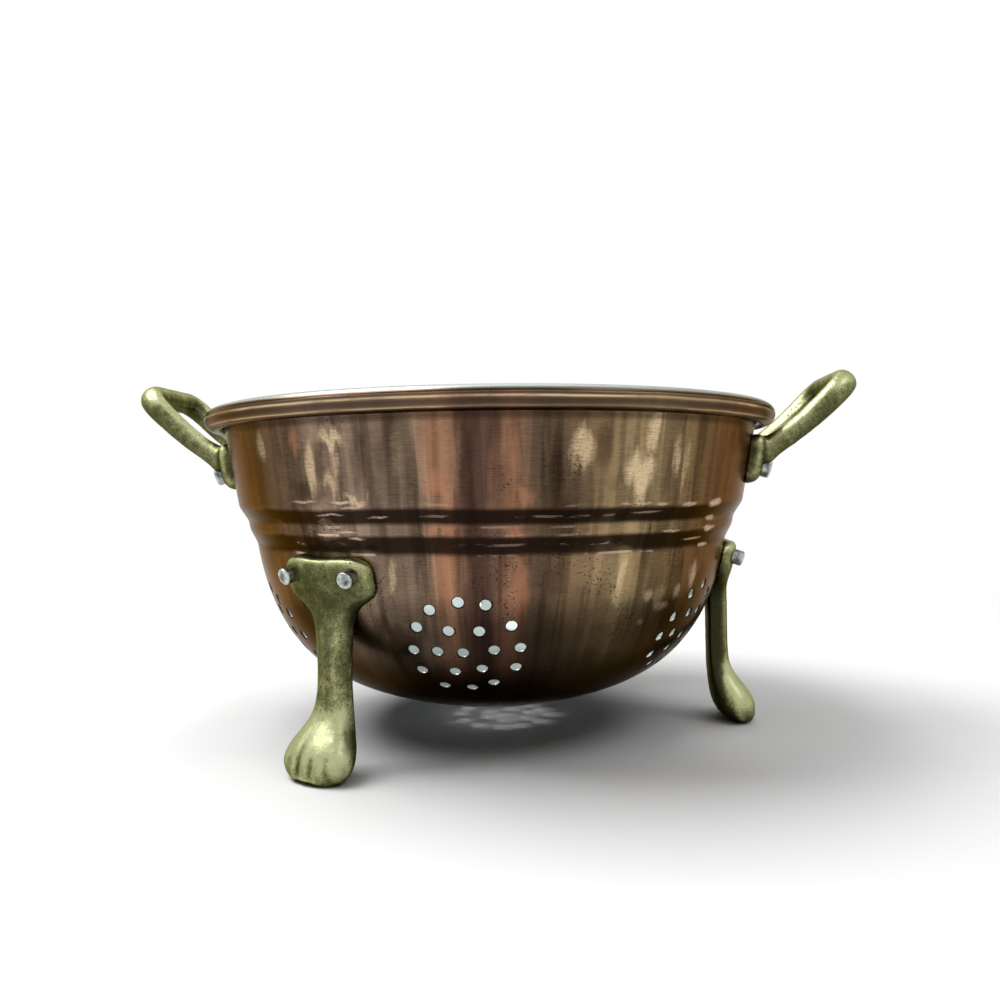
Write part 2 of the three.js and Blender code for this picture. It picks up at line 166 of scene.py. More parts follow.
class Finishes(bpy.types.PropertyGroup):
    """Colours of the metals"""

    # Also the colour of the painted warm reflections on the wall
    copper: FloatVectorProperty(
        name="Copper", description="Clean copper", subtype="COLOR", size=3,
        default=(0.4, 0.185, 0.1))
    # The colour of the painted bright highlights on the wall
    copper_highlight: FloatVectorProperty(
        name="Worn copper", description="Places worn bright", subtype="COLOR", size=3,
        default=(0.62, 0.47, 0.28))
    # Brown tarnish, also the colour of the painted dark reflections and painted shade on the wall
    tarnish_and_shade: FloatVectorProperty(
        name="Tarnish", description="Brown tarnish on the copper", subtype="COLOR", size=3,
        default=(0.07, 0.038, 0.024))
    tin: FloatVectorProperty(
        name="Tin", description="Tin inside the bowl", subtype="COLOR", size=3,
        default=(0.6, 0.69, 0.69))
    brass: FloatVectorProperty(
        name="Brass", description="Rubbed cast brass", subtype="COLOR", size=3,
        default=(0.17, 0.172, 0.078))
    # The top of the brass's ramp, reached where rubbing and painted light are strongest
    bright_brass: FloatVectorProperty(
        name="Bright brass", description="Brass where it is worn most", subtype="COLOR", size=3,
        default=(0.43, 0.46, 0.25))
    aged_brass: FloatVectorProperty(
        name="Aged brass", description="Dull brass in the hollows", subtype="COLOR", size=3,
        default=(0.06, 0.06, 0.025))
    rivet: FloatVectorProperty(
        name="Rivet", description="Rivet metal", subtype="COLOR", size=3,
        default=(0.36, 0.385, 0.36))


# Painted bright reflections on the copper: sine of the angle from the front, height in mm,
# half width as a sine, half height in mm and strength
GOLD_HIGHLIGHTS = (
    (0.27, 94, 0.045, 7.5, 0.8), (0.455, 87, 0.055, 7, 1), (0.49, 98, 0.025, 7, 0.9),
    (0.585, 94, 0.014, 8, 0.6), (0.62, 92, 0.01, 9, 0.4), (-0.56, 90, 0.018, 9, 0.7),
    (-0.48, 98, 0.05, 3.2, 0.8), (-0.47, 91, 0.012, 7, 0.45), (-0.5, 85, 0.03, 4, 0.6),
    (-0.42, 81.5, 0.05, 1.6, 0.7), (-0.74, 97, 0.025, 5, 0.5), (0.455, 59, 0.018, 6.5, 0.8),
    (0.45, 53, 0.03, 2.2, 0.6), (0.62, 52, 0.03, 4, 0.4), (-0.34, 59, 0.02, 4.5, 0.5),
    (-0.28, 92, 0.03, 10, 0.25), (-0.1, 90, 0.012, 12, 0.2), (0.16, 92, 0.01, 14, 0.18))

# Painted warm reflections and painted dark reflections, listed in the same way
WARM_REFLECTIONS = (
    (-0.16, 60, 0.04, 6, 1), (-0.17, 56, 0.03, 8, 0.8), (0.1, 56, 0.035, 8, 0.9),
    (0.09, 62, 0.02, 4, 0.6), (-0.18, 95, 0.04, 9, 0.5), (-0.16, 85, 0.05, 4, 0.9),
    (0.1, 83, 0.04, 3, 0.7), (0.07, 92, 0.015, 8, 0.5), (-0.61, 97, 0.02, 5, 0.7),
    (-0.17, 71, 0.06, 1.6, 0.8), (0.08, 71, 0.05, 1.6, 0.7), (-0.52, 60, 0.1, 3, 0.8))
DARK_REFLECTIONS = (
    (-0.53, 91, 0.018, 8, 0.9), (-0.4, 92, 0.022, 9, 0.7), (-0.3, 94, 0.045, 7, 0.45),
    (-0.58, 83, 0.08, 3.5, 0.8), (0.34, 94, 0.03, 7, 0.7), (0.4, 85, 0.04, 3, 0.4),
    (0.56, 90, 0.018, 9, 0.6), (0.33, 52, 0.07, 7, 0.55), (-0.36, 42, 0.16, 5, 0.8),
    (0.2, 60, 0.05, 5, 0.35), (-0.25, 28, 0.2, 6, 0.7), (0.52, 62, 0.02, 5, 0.4),
    (0.7, 60, 0.02, 6, 0.6), (0.8, 55, 0.03, 5, 0.6), (0.68, 44, 0.06, 6, 0.7),
    (0.82, 97, 0.05, 3, 0.4), (-0.82, 92, 0.03, 9, 0.4), (-0.75, 45, 0.08, 6, 0.8),
    (-0.86, 62, 0.03, 5, 0.5))

# Small painted highlights by the steps and low on the wall, listed in the same way
PINK_GLINTS = (
    (0.767, 78.5, 0.028, 1.3, 1), (0.78, 73.9, 0.026, 0.9, 0.9), (0.783, 70.7, 0.028, 1.1, 1),
    (0.786, 65.5, 0.026, 0.7, 0.9), (0.653, 78.3, 0.026, 0.8, 0.8), (0.545, 78.5, 0.022, 0.6, 0.7),
    (0.482, 78.9, 0.03, 0.4, 0.7), (0.616, 70.6, 0.04, 0.45, 0.8), (0.72, 67.7, 0.04, 0.4, 0.7),
    (0.5, 76.4, 0.05, 0.35, 0.6), (-0.473, 80.1, 0.04, 0.5, 0.9), (-0.44, 78.6, 0.03, 0.35, 0.7),
    (-0.52, 76.6, 0.05, 0.35, 0.6), (-0.484, 71.6, 0.04, 0.4, 0.8), (-0.45, 69.8, 0.03, 0.5, 0.7),
    (-0.6, 80.5, 0.05, 0.4, 0.7), (-0.36, 75.9, 0.03, 0.35, 0.6), (0.765, 56, 0.02, 5, 0.7),
    (0.7, 51.5, 0.018, 2.5, 0.6), (0.574, 51.3, 0.022, 2, 0.8), (0.64, 47.5, 0.03, 1.5, 0.7),
    (0.571, 43.3, 0.02, 1.2, 0.7))

# Tones of the tarnish with painted reflections in them, from the left side, 0, over the front, 0.5,
# to the right side, 1
TONES_AND_REFLECTIONS = (
    (0.04, (0.075, 0.032, 0.008)), (0.09, (0.08, 0.036, 0.01)), (0.12, (0.045, 0.027, 0.014)),
    (0.17, (0.062, 0.04, 0.024)), (0.24, (0.1, 0.07, 0.048)), (0.31, (0.075, 0.052, 0.036)),
    (0.38, (0.1, 0.07, 0.046)), (0.425, (0.15, 0.08, 0.046)), (0.46, (0.05, 0.027, 0.019)),
    (0.5, (0.036, 0.02, 0.014)), (0.54, (0.095, 0.048, 0.027)), (0.57, (0.052, 0.034, 0.021)),
    (0.64, (0.07, 0.045, 0.024)), (0.735, (0.125, 0.09, 0.045)), (0.81, (0.068, 0.045, 0.021)),
    (0.88, (0.062, 0.032, 0.015)), (0.95, (0.078, 0.036, 0.017)))

# Painted shade of the wall, darker towards the bottom, with height in tenths of a metre, and painted
# dark and bright reflection lines round the roll, from underneath, 0, over its outermost line, 0.5,
# to its crest, 1
HEIGHT_SHADES = (
    (0.1, 0.04), (0.2, 0.075), (0.28, 0.24), (0.36, 0.52), (0.42, 0.44), (0.48, 0.55),
    (0.54, 0.95), (0.62, 1.0), (1.0, 1.0))
ROLL_SHADES = (
    (0.0, 0.5), (0.02, 0.5), (0.05, 0.2), (0.17, 0.18), (0.22, 0.4), (0.25, 0.75),
    (0.29, 0.5), (0.33, 0.25), (0.42, 0.22), (0.47, 0.42), (0.5, 1.0), (0.53, 1.0),
    (0.56, 0.38), (0.6, 0.3), (0.615, 0.65), (0.63, 0.5), (0.645, 0.1), (0.67, 0.14),
    (0.69, 0.4))

# Heights of the painted dark reflections under the two steps and of their painted bright glints, in
# mm
STEP_REFLECTION_BANDS = ((73.0, 74.6, 77.4, 78.9), (64.2, 66.2, 69.8, 71.2))
STEP_GLINTS = (79.1, 76.0, 73.2, 70.9, 68.2, 65.2)


# Shaping

def start_fresh():
    """Leaves edit mode and deselects everything"""
    if bpy.context.object and bpy.context.object.mode != "OBJECT":
        bpy.ops.object.mode_set(mode="OBJECT")
    bpy.ops.object.select_all(action="DESELECT")


def pick(piece):
    """Makes a piece the only one selected, and the active one"""
    start_fresh()
    piece.select_set(True)
    bpy.context.view_layer.objects.active = piece


def turn_profile(points, facets):
    """Draws a line of (radius, height) points in edit mode and spins it round +Z"""
    start_fresh()
    bpy.ops.mesh.primitive_plane_add(size=mm)
    bpy.ops.object.mode_set(mode="EDIT")
    bpy.ops.mesh.merge(type="CENTER")
    (radius, height), *others = points
    bpy.ops.transform.translate(value=(radius, 0, height))
    for next_radius, next_height in others:
        step = (next_radius - radius, 0, next_height - height)
        bpy.ops.mesh.extrude_vertices_move(TRANSFORM_OT_translate={"value": step})
        radius, height = next_radius, next_height
    bpy.ops.mesh.select_all(action="SELECT")
    bpy.ops.mesh.spin(
        steps=facets, angle=2 * math.pi, center=(0, 0, 0), axis=(0, 0, 1))
    bpy.ops.mesh.select_all(action="SELECT")
    bpy.ops.mesh.remove_doubles(threshold=0.001 * mm)
    bpy.ops.mesh.normals_make_consistent(inside=False)
    bpy.ops.object.mode_set(mode="OBJECT")
    return bpy.context.object


def skin(rings):
    """A ball whose rings of vertices are moved to the sections of a casting"""
    rings = np.asarray(rings)
    rows, around = rings.shape[:2]
    start_fresh()
    bpy.ops.mesh.primitive_uv_sphere_add(segments=around, ring_count=rows + 1, radius=1)
    piece = bpy.context.object
    ball = read_points(piece)
    row = np.rint(np.arccos(np.clip(ball[:, 2], -1, 1)) / math.pi * (rows + 1)).astype(int)
    column = np.rint(np.arctan2(ball[:, 1], ball[:, 0]) / (2 * math.pi) * around).astype(int)
    ends = np.array([rings[0].mean(0), rings[-1].mean(0)])
    placed = rings[np.clip(row - 1, 0, rows - 1), column % around]
    placed[row == 0] = ends[0]
    placed[row == rows + 1] = ends[1]
    write_points(piece, placed)
    if volume(piece) < 0:
        bpy.ops.object.mode_set(mode="EDIT")
        bpy.ops.mesh.select_all(action="SELECT")
        bpy.ops.mesh.flip_normals()
        bpy.ops.object.mode_set(mode="OBJECT")
    return piece


def volume(piece):
    """The volume inside a closed piece, below zero where it is inside out"""
    points = read_points(piece)
    piece.data.calc_loop_triangles()
    corners = np.zeros(len(piece.data.loop_triangles) * 3, np.int32)
    piece.data.loop_triangles.foreach_get("vertices", corners)
    one, two, three = points[corners.reshape(-1, 3).T]
    return (one * np.cross(two, three)).sum() / 6


def read_points(piece):
    points = np.zeros(len(piece.data.vertices) * 3, np.float32)
    piece.data.vertices.foreach_get("co", points)
    return points.reshape(-1, 3).astype(float)


def write_points(piece, points):
    piece.data.vertices.foreach_set("co", np.asarray(points, np.float32).ravel())
    piece.data.update()


def read_normals(piece):
    normals = np.zeros(len(piece.data.vertices) * 3, np.float32)
    piece.data.vertices.foreach_get("normal", normals)
    return normals.reshape(-1, 3).astype(float)


def apply(piece, kind, **settings):
    """Adds a modifier with these settings and applies it"""
    pick(piece)
    modifier = piece.modifiers.new(kind.title(), kind)
    for name, value in settings.items():
        setattr(modifier, name, value)
    bpy.ops.object.modifier_apply(modifier=modifier.name)


def join_with(piece, other, operation):
    """Cuts or joins a piece with another, which is then deleted"""
    apply(piece, "BOOLEAN", operation=operation, solver="EXACT", object=other)
    bpy.data.objects.remove(other)


def copy_at(piece, matrix):
    copied = piece.copy()
    copied.data = piece.data.copy()
    copied.data.transform(matrix)
    bpy.context.scene.collection.objects.link(copied)
    return copied


def melt(piece, grid, rounds):
    """Makes one even skin of a casting and rounds its edges"""
    apply(piece, "REMESH", mode="VOXEL", voxel_size=grid)
    apply(piece, "SMOOTH", factor=0.5, iterations=rounds)


def mark(piece, name, values, domain="POINT"):
    """Stores numbers from 0 to 1 on the mesh, for its finish to read"""
    marks = piece.data.attributes.new(name, "FLOAT", domain)
    marks.data.foreach_set("value", np.clip(values, 0, 1).astype(np.float32))


def wear_and_top_light(piece, line):
    """How bright a casting is: rubbed bright on its ridges, with painted light on its top and a
    painted highlight where it faces half up, less by the wall
    """
    points, normals = read_points(piece), read_normals(piece)
    edges = np.zeros(len(piece.data.edges) * 2, np.int32)
    piece.data.edges.foreach_get("vertices", edges)
    one, two = edges.reshape(-1, 2).T
    count = len(points)
    near = np.bincount(one, minlength=count) + np.bincount(two, minlength=count)
    soft = points
    for _ in range(8):
        soft = np.stack([
            np.bincount(one, soft[two, k], count) + np.bincount(two, soft[one, k], count)
            for k in range(3)], 1) / near[:, None]
    proud = ((points - soft) * normals).sum(1) / (0.12 * mm)
    wall = np.interp(points[:, 2], line[:, 1], line[:, 0])
    away = np.hypot(points[:, 0], points[:, 1]) - wall
    up = normals[:, 2]
    # Proud ridges are rubbed bright; faces that point up get painted light, and a painted highlight
    # band where they face half up
    worn_and_lit = 0.42 + 0.28 * proud + 0.26 * up + 0.22 * np.exp(-(((up - 0.5) / 0.2) ** 2))
    return worn_and_lit - 0.3 * np.exp(-((away / (1.2 * mm)) ** 2))


def roughen(piece, amount, grain, seed):
    """Moves the vertices in and out as sand casting or hammering does"""
    points = read_points(piece)
    shift = Vector((seed, 2.3 * seed, 5.1 * seed))
    heights = [noise.fractal(Vector(point) / grain + shift, 1.0, 2.0, 3) for point in points]
    write_points(piece, points + read_normals(piece) * amount * np.array(heights)[:, None])


def finish_piece(piece, name, replaced, metal, smooth):
    """Names a piece, smooths it, gives it its metal and sets it in the frame"""
    pick(piece)
    piece.name = name
    piece.data.name = name
    bpy.ops.object.shade_smooth_by_angle(angle=math.radians(smooth))
    piece.data.materials.clear()
    piece.data.materials.append(metal)
    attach(piece, BODY)
    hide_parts(replaced)


def turned(degrees):
    return Matrix.Rotation(math.radians(degrees), 4, "Z")


def squared(value, squareness):
    """A sine or cosine bent so that it draws a circle with squarer corners"""
    return math.copysign(abs(value) ** (2 / squareness), value)


def bent(start, pulls, end, count):
    """Points on a curve from start to end that leaves and arrives towards its pulls"""
    t = np.linspace(0, 1, count)[:, None]
    return ((1 - t) ** 3 * start + 3 * (1 - t) ** 2 * t * pulls[0]
            + 3 * (1 - t) * t ** 2 * pulls[1] + t ** 3 * end)


# The bowl's outline

def evened(points, spacing):
    """Points on the same line, an equal distance apart"""
    points = np.asarray(points, float)
    along = np.concatenate([[0], np.cumsum(np.linalg.norm(np.diff(points, axis=0), axis=1))])
    count = max(int(round(along[-1] / spacing)), 2)
    marks = np.linspace(0, along[-1], count + 1)
    return np.stack([np.interp(marks, along, points[:, k]) for k in (0, 1)], 1)


def eased(points, reach):
    """A line of even points with its corners rounded over a number of points"""
    window = np.hanning(2 * reach + 3)[1:-1]
    window /= window.sum()
    start = 2 * points[0] - points[reach:0:-1]
    end = 2 * points[-1] - points[-2:-reach - 2:-1]
    longer = np.concatenate([start, points, end])
    return np.stack([np.convolve(longer[:, k], window, "valid") for k in (0, 1)], 1)


def outline(sizes):
    """The bowl's outside as (radius, height) points, from the middle of the bottom to the roll"""
    band_lean, band_height = 0.17, 28.8 * mm
    step_in, step_height = 3 * mm, 4.7 * mm
    rib_height = 3 * mm
    lower_in, lower_height = 2.35 * mm, 4.6 * mm
    flat_radius, flat_pull, flat_rise = 25 * mm, 19 * mm, 0.3
    side_pull, side_lean = 48.6 * mm, 0.15
    roll_height = sizes.rim_top - sizes.roll_radius
    wall_top = sizes.rim_radius - 2 * sizes.roll_radius + sizes.sheet
    upper_top = (wall_top - band_lean * band_height, roll_height - band_height)
    upper_foot = (upper_top[0] - step_in, upper_top[1] - step_height)
    lower_top = (upper_foot[0] - band_lean * rib_height, upper_foot[1] - rib_height)
    lower_foot = (lower_top[0] - lower_in, lower_top[1] - lower_height)
    start = np.array((flat_radius, sizes.bottom))
    end = np.array(lower_foot)
    pulls = (start + (flat_pull, flat_rise * flat_pull), end - (side_lean * side_pull, side_pull))
    side = bent(start, pulls, end, 60)
    line = [(0, sizes.bottom), *side, lower_top, upper_foot, upper_top, (wall_top, roll_height)]
    return eased(evened(line, 0.4 * mm), 3)


def pushed(line, distance):
    """The line moved out along its normals"""
    way = np.gradient(line, axis=0)
    way /= np.linalg.norm(way, axis=1)[:, None]
    moved = line + distance * np.stack([way[:, 1], -way[:, 0]], 1)
    moved[:, 0] = np.maximum(moved[:, 0], 0)
    return moved


def kept_places(line, bend=math.radians(2.5), reach=1.6 * mm):
    """The points of a line that its mesh needs, closer together where it bends"""
    way = np.gradient(line, axis=0)
    turn = np.abs(np.gradient(np.unwrap(np.arctan2(way[:, 1], way[:, 0]))))
    length = np.linalg.norm(np.diff(line, axis=0, prepend=line[:1]), axis=1)
    amount = np.cumsum(turn / bend + length / reach)
    found = np.searchsorted(amount, np.arange(amount[0], amount[-1]))
    return np.unique([0, *found, len(line) - 1])


def wall_at(line, height):
    """Radius of the wall at a height, and its outward normal as (out, up)"""
    upper = line[line[:, 0] > 5 * mm]
    radius = np.interp(height, upper[:, 1], upper[:, 0])
    rise = 0.5 * mm
    lean = np.interp(height + rise, upper[:, 1], upper[:, 0]) - np.interp(
        height - rise, upper[:, 1], upper[:, 0])
    length = math.hypot(2 * rise, lean)
    return radius, (2 * rise / length, -lean / length)


def wall_frame(line, angle, height):
    """A frame on the wall whose +Z leaves it along its normal; the angle is in radians"""
    radius, normal = wall_at(line, height)
    tilt = math.atan2(normal[0], normal[1])
    return (Matrix.Rotation(angle, 4, "Z") @ Matrix.Translation((radius, 0, height))
            @ Matrix.Rotation(tilt, 4, "Y"))


def wall_pair(line, degrees, height, spacing):
    half = spacing / 2 / wall_at(line, height)[0]
    angle = math.radians(degrees)
    return [wall_frame(line, angle - half, height), wall_frame(line, angle + half, height)]


def curl(sizes, radius, count):
    """The rolled rim: over from the wall, out and down, and back nearly to the wall"""
    middle = (sizes.rim_radius - sizes.roll_radius, sizes.rim_top - sizes.roll_radius)
    mouth = sizes.roll_radius - sizes.sheet - 0.1 * mm
    end = math.acos(mouth / sizes.roll_radius) - math.pi
    angles = np.linspace(math.pi, end, count + 1)
    return np.stack([middle[0] + radius * np.cos(angles), middle[1] + radius * np.sin(angles)], 1)


def grown_bowl(sizes, gap):
    """The bowl as a solid, grown by a gap: castings that sit on the wall are cut by it"""
    line = pushed(outline(sizes), gap)
    line[0, 0] = 0
    return turn_profile([*map(tuple, line), (0, line[-1][1])], 120)


def cluster_places():
    """One hole, a ring of six and a ring of twelve, as (up, across)"""
    inner, outer = HOLE_RINGS
    rings = [(inner, 30 + 60 * k) for k in range(6)] + [(outer, 30 * k) for k in range(12)]
    spots = [(radius * math.cos(math.radians(turn)), radius * math.sin(math.radians(turn)))
             for radius, turn in rings]
    return [(0, 0), *spots]


def up_the_wall(line, height, distance):
    """The height reached by going a distance up the wall, along its slope"""
    along = np.concatenate([[0], np.cumsum(np.linalg.norm(np.diff(line, axis=0), axis=1))])
    here = np.interp(height, line[:, 1], along)
    return float(np.interp(here + distance, along, line[:, 1]))


# The finishes

class Wire:
    """A shader socket that can be used in a sum"""

    def __init__(self, tree, socket=None):
        self.tree = tree
        self.socket = socket

    def node(self, kind, inputs=None, output=0, stops=None, **settings):
        """Adds a node, sets it up, fills or links its sockets and gives one output"""
        made = self.tree.nodes.new("ShaderNode" + kind)
        for name, value in settings.items():
            setattr(made, name, value)
        if stops:
            ramp = made.color_ramp.elements
            while len(ramp) < len(stops):
                ramp.new(1)
            for element, (place, colour) in zip(ramp, stops):
                element.position = place
                element.color = (*colour, 1) if hasattr(colour, "__len__") else (colour,) * 3 + (1,)
        for key, value in (inputs or {}).items():
            if isinstance(value, Wire):
                self.tree.links.new(value.socket, made.inputs[key])
            else:
                made.inputs[key].default_value = value
        return Wire(self.tree, made.outputs[output])

    def sum(self, operation, one, two=0.0):
        return self.node("Math", {0: one, 1: two}, operation=operation)

    def __add__(self, other):
        return self.sum("ADD", self, other)

    def __sub__(self, other):
        return self.sum("SUBTRACT", self, other)

    def __mul__(self, other):
        return self.sum("MULTIPLY", self, other)

    def __rsub__(self, other):
        return self.sum("SUBTRACT", other, self)

    __radd__ = __add__
    __rmul__ = __mul__

    def clipped(self, low, high):
        """0 below low, 1 above high and a smooth step between"""
        return self.node(
            "MapRange", {0: self, 1: low, 2: high}, interpolation_type="SMOOTHSTEP")

    def blend(self, one, two):
        """A mix of two colours by this factor"""
        one, two = ((*c, 1) if isinstance(c, tuple) else c for c in (one, two))
        return self.node("Mix", {0: self, 6: one, 7: two}, output=2, data_type="RGBA")

    def vector(self, operation, other=None, output=0):
        """A sum of vectors; output 1 is the number that a length or dot product gives"""
        inputs = {0: self} if other is None else {0: self, 1: other}
        return self.node("VectorMath", inputs, output, operation=operation)

    def ramp(self, stops):
        """The colour or shade at this place between some stops"""
        return self.node("ValToRGB", {0: self}, stops=stops)

    def spots(self, places):
        """The strongest of some soft ovals, each as (x, y, half width, half height, strength)"""
        found = 0.0
        for x, y, half_width, half_height, strength in places:
            off = self.node("VectorMath", {
                0: self, 1: (1 / half_width, 1 / half_height, 0),
                2: (-x / half_width, -y / half_height, 0)}, operation="MULTIPLY_ADD")
            spot = 1 - off.vector("LENGTH", output=1).clipped(0.35, 1.25)
            found = spot.sum("MAXIMUM", spot * strength, found)
        return found

    def noise(self, scale, detail=2.0, roughness=0.5):
        """Noise over the vector on this socket"""
        return self.node(
            "TexNoise", {"Vector": self, "Scale": scale, "Detail": detail, "Roughness": roughness})


def seen_ray(start):
    """1 for what the camera sees straight, in a gloss or through a clear thing"""
    kinds = [start.node("LightPath", output=f"Is {kind} Ray")
             for kind in ("Camera", "Glossy", "Transmission")]
    return (kinds[0] + kinds[1] + kinds[2]).clipped(0.0, 1.0)


def shaded(colour, factor=1.0):
    """A setting's colour as a tuple, darker or lighter by a factor"""
    return tuple(channel * factor for channel in colour)


class Metal:
    """A metal with object coordinates at hand"""

    def __init__(self, name):
        self.material = bpy.data.materials.new(name)
        self.material.use_nodes = True
        tree = self.material.node_tree
        tree.nodes.clear()
        self.start = Wire(tree)
        self.place = self.start.node("TexCoord", output="Object")
        self.surface = tree.nodes.new("ShaderNodeBsdfPrincipled")
        self.surface.inputs["Metallic"].default_value = 1
        end = tree.nodes.new("ShaderNodeOutputMaterial")
        tree.links.new(self.surface.outputs[0], end.inputs[0])

    def link(self, socket, wire):
        self.start.tree.links.new(wire.socket, self.surface.inputs[socket])

    def dent(self, height, depth, strength):
        bump = self.start.node(
            "Bump", {"Strength": strength, "Distance": depth, "Height": height})
        self.link("Normal", bump)

    def marked(self, name):
        """A number that the mesh carries"""
        return self.start.node("Attribute", output="Fac", attribute_name=name)


class Copper(Metal):
    """Copper with the patterns that its layers share"""

    def __init__(self, name, colours):
        super().__init__(name)
        self.tarnish_and_shade = colours.tarnish_and_shade
        # Colours of the painted warm reflections and painted bright highlights
        self.warm_reflection_colour = shaded(colours.copper)
        self.bright = shaded(colours.copper_highlight)
        place = self.place
        self.height = place.node("SeparateXYZ", {0: place}, output="Z")
        self.level = self.height * 1000.0
        self.way = place.vector("MULTIPLY", (1, 1, 0)).vector("NORMALIZE")
        self.blotches = place.noise(34.0, 5.0, 0.6)
        self.speckle = place.noise(1400.0, 2.0, 0.6)
        self.specks = place.noise(1500.0, 1.0, 0.4).clipped(0.6, 0.68)
        self.specks = self.specks * place.noise(60.0, 3.0, 0.6).clipped(0.52, 0.64)
        self.lines = self.wrapped(14.0).noise(260.0, 3.0, 0.6)
        self.curtain = self.wrapped(0.12).noise(70.0, 4.0, 0.55)
        self.thin_curtain = self.wrapped(0.1).noise(210.0, 3.0, 0.5)
        self.torn = self.wrapped(0.5).noise(150.0, 3.0, 0.6)
        across = (math.cos(math.radians(FRONT)), math.sin(math.radians(FRONT)), 0)
        self.turn = self.way.vector("DOT_PRODUCT", across, 1)
        self.aside = self.turn.sum("ABSOLUTE", self.turn)
        self.calm = self.aside.clipped(0.6, 0.85)

    def wrapped(self, rise):
        """A place on the wall; the less it rises, the longer its pattern hangs"""
        drawn = self.way.vector("MULTIPLY", (0.1, 0.1, 0))
        return drawn.vector("ADD", drawn.node("CombineXYZ", {"Z": self.height * rise}))

    def spot_place(self, shift, lift):
        """Where the ovals of painted reflections and highlights are looked up, pulled about so that
        they are ragged
        """
        return self.start.node("CombineXYZ", {"X": self.turn + shift, "Y": self.level + lift})

    def tone_and_reflection(self):
        """The tone of each side of the wall: tarnish with painted reflections"""
        swayed = (self.turn + (self.blotches - 0.5) * 0.16) * 0.5 + 0.5
        return swayed.ramp(TONES_AND_REFLECTIONS)

    def curtains(self, tone_and_reflection):
        """Painted reflections: dark and bright curtains that hang down the wall over the tarnish
        tones, calmer at the sides and below
        """
        calm = self.calm
        steady = 1 - self.level.clipped(26.0, 54.0)
        tone = self.curtain * 0.75 + self.thin_curtain * 0.35 + self.lines * 0.12
        tone = tone + (self.blotches - 0.5) * 0.35
        sharp = self.wrapped(0.06).noise(95.0, 3.0, 0.45)
        bright = tone.clipped(0.38, 0.86) * 0.75 + sharp.clipped(0.5, 0.525) * 0.34
        bright = bright * (1 - steady * 0.5) + steady * 0.15
        bright = bright * (1 - calm * 0.8) + calm * (0.18 + self.blotches * 0.25)
        deep = tone.clipped(0.36, 0.64)
        dark = (deep + (1 - deep) * calm * 0.85).blend(shaded(self.tarnish_and_shade, 0.45), tone_and_reflection)
        # Painted reflections: bright and dark curtains mixed into the tones
        copper = bright.blend(dark, tone_and_reflection.vector("MULTIPLY", (2.9, 2.9, 3.0)))
        thin = self.thin_curtain.clipped(0.43, 0.55) * (0.3 - calm * 0.22) + calm * 0.11
        thin = thin * (1 - steady * 0.85) + steady * 0.12
        fine = self.lines.clipped(0.3, 0.7) * (0.22 - steady * 0.08) + steady * 0.04
        return copper.vector("MULTIPLY", 0.72 + thin + fine)

    def painted_reflections(self, copper):
        """Painted dark, warm and bright reflections in patches with ragged edges"""
        ragged = self.spot_place(
            (self.torn - 0.5) * 0.05 + (self.thin_curtain - 0.5) * 0.05,
            (self.torn - 0.5) * 8.0 + (self.blotches - 0.5) * 10.0 + (self.thin_curtain - 0.5) * 16.0)
        # Painted dark and warm reflections, then painted bright highlights
        copper = (ragged.spots(DARK_REFLECTIONS) * 0.7).blend(copper, shaded(self.tarnish_and_shade, 0.4))
        copper = (ragged.spots(WARM_REFLECTIONS) * 0.6).blend(copper, self.warm_reflection_colour)
        gold = ragged.spots(GOLD_HIGHLIGHTS) * (0.72 + self.speckle.clipped(0.3, 0.62) * 0.28)
        gold = gold * (0.7 + self.lines.clipped(0.35, 0.6) * 0.3) * 1.05
        return gold.clipped(0.0, 1.0).blend(copper, self.bright)

    def steps(self, copper):
        """Painted dark reflections under the two steps, with painted highlights and glints along
        their edges
        """
        wavy = self.level + (self.wrapped(1.0).noise(26.0) - 0.5) * 2.0
        band = 0.0
        for low, full, fading, high in STEP_REFLECTION_BANDS:
            band = wavy.clipped(low, full) * (1 - wavy.clipped(fading, high)) + band
        streak = self.wrapped(4.0).noise(38.0, 4.0, 0.6)
        sides = self.aside.clipped(0.25, 0.6)
        band = band * (1 - streak.clipped(0.5, 0.62) * sides * 0.45)
        # Painted dark reflections in the bands under the steps
        copper = (band * 0.94).blend(copper, shaded(self.tarnish_and_shade, 0.17))
        # Small painted highlights by the steps and low on the wall
        dents = self.spot_place((self.torn - 0.5) * 0.05, (self.torn - 0.5) * 1.5)
        dents = dents.spots(PINK_GLINTS) * (0.5 + self.speckle.clipped(0.3, 0.6) * 0.5)
        copper = dents.blend(copper, (0.56, 0.42, 0.31))
        # Painted glints along the steps' edges
        edges = 0.0
        for edge in STEP_GLINTS:
            edges = wavy.node("Math", {0: wavy, 1: edge, 2: 0.35}, operation="COMPARE") + edges
        glint = edges.clipped(0.0, 1.0) * streak.clipped(0.54, 0.6) * (0.25 + sides * 0.75)
        return (glint * (1 - self.calm) * 0.85).blend(copper, (0.6, 0.44, 0.34))

    def shades(self, copper):
        """Dark under the roll and painted shade darker towards the bottom, with specks of tarnish"""
        under_roll = self.level.clipped(101.2, 103.0) * (1 - self.level.clipped(103.6, 104.4))
        copper = (under_roll * 0.6).blend(copper, shaded(self.tarnish_and_shade, 0.3))
        uneven = (self.blotches - 0.5) * 14.0 + (self.thin_curtain - 0.5) * 4.0
        # Painted shade: the wall grows darker towards the bottom
        copper = copper.vector("MULTIPLY", ((self.level + uneven) * 0.01).ramp(HEIGHT_SHADES))
        return (self.specks * 0.75).blend(copper, shaded(self.tarnish_and_shade, 0.25))

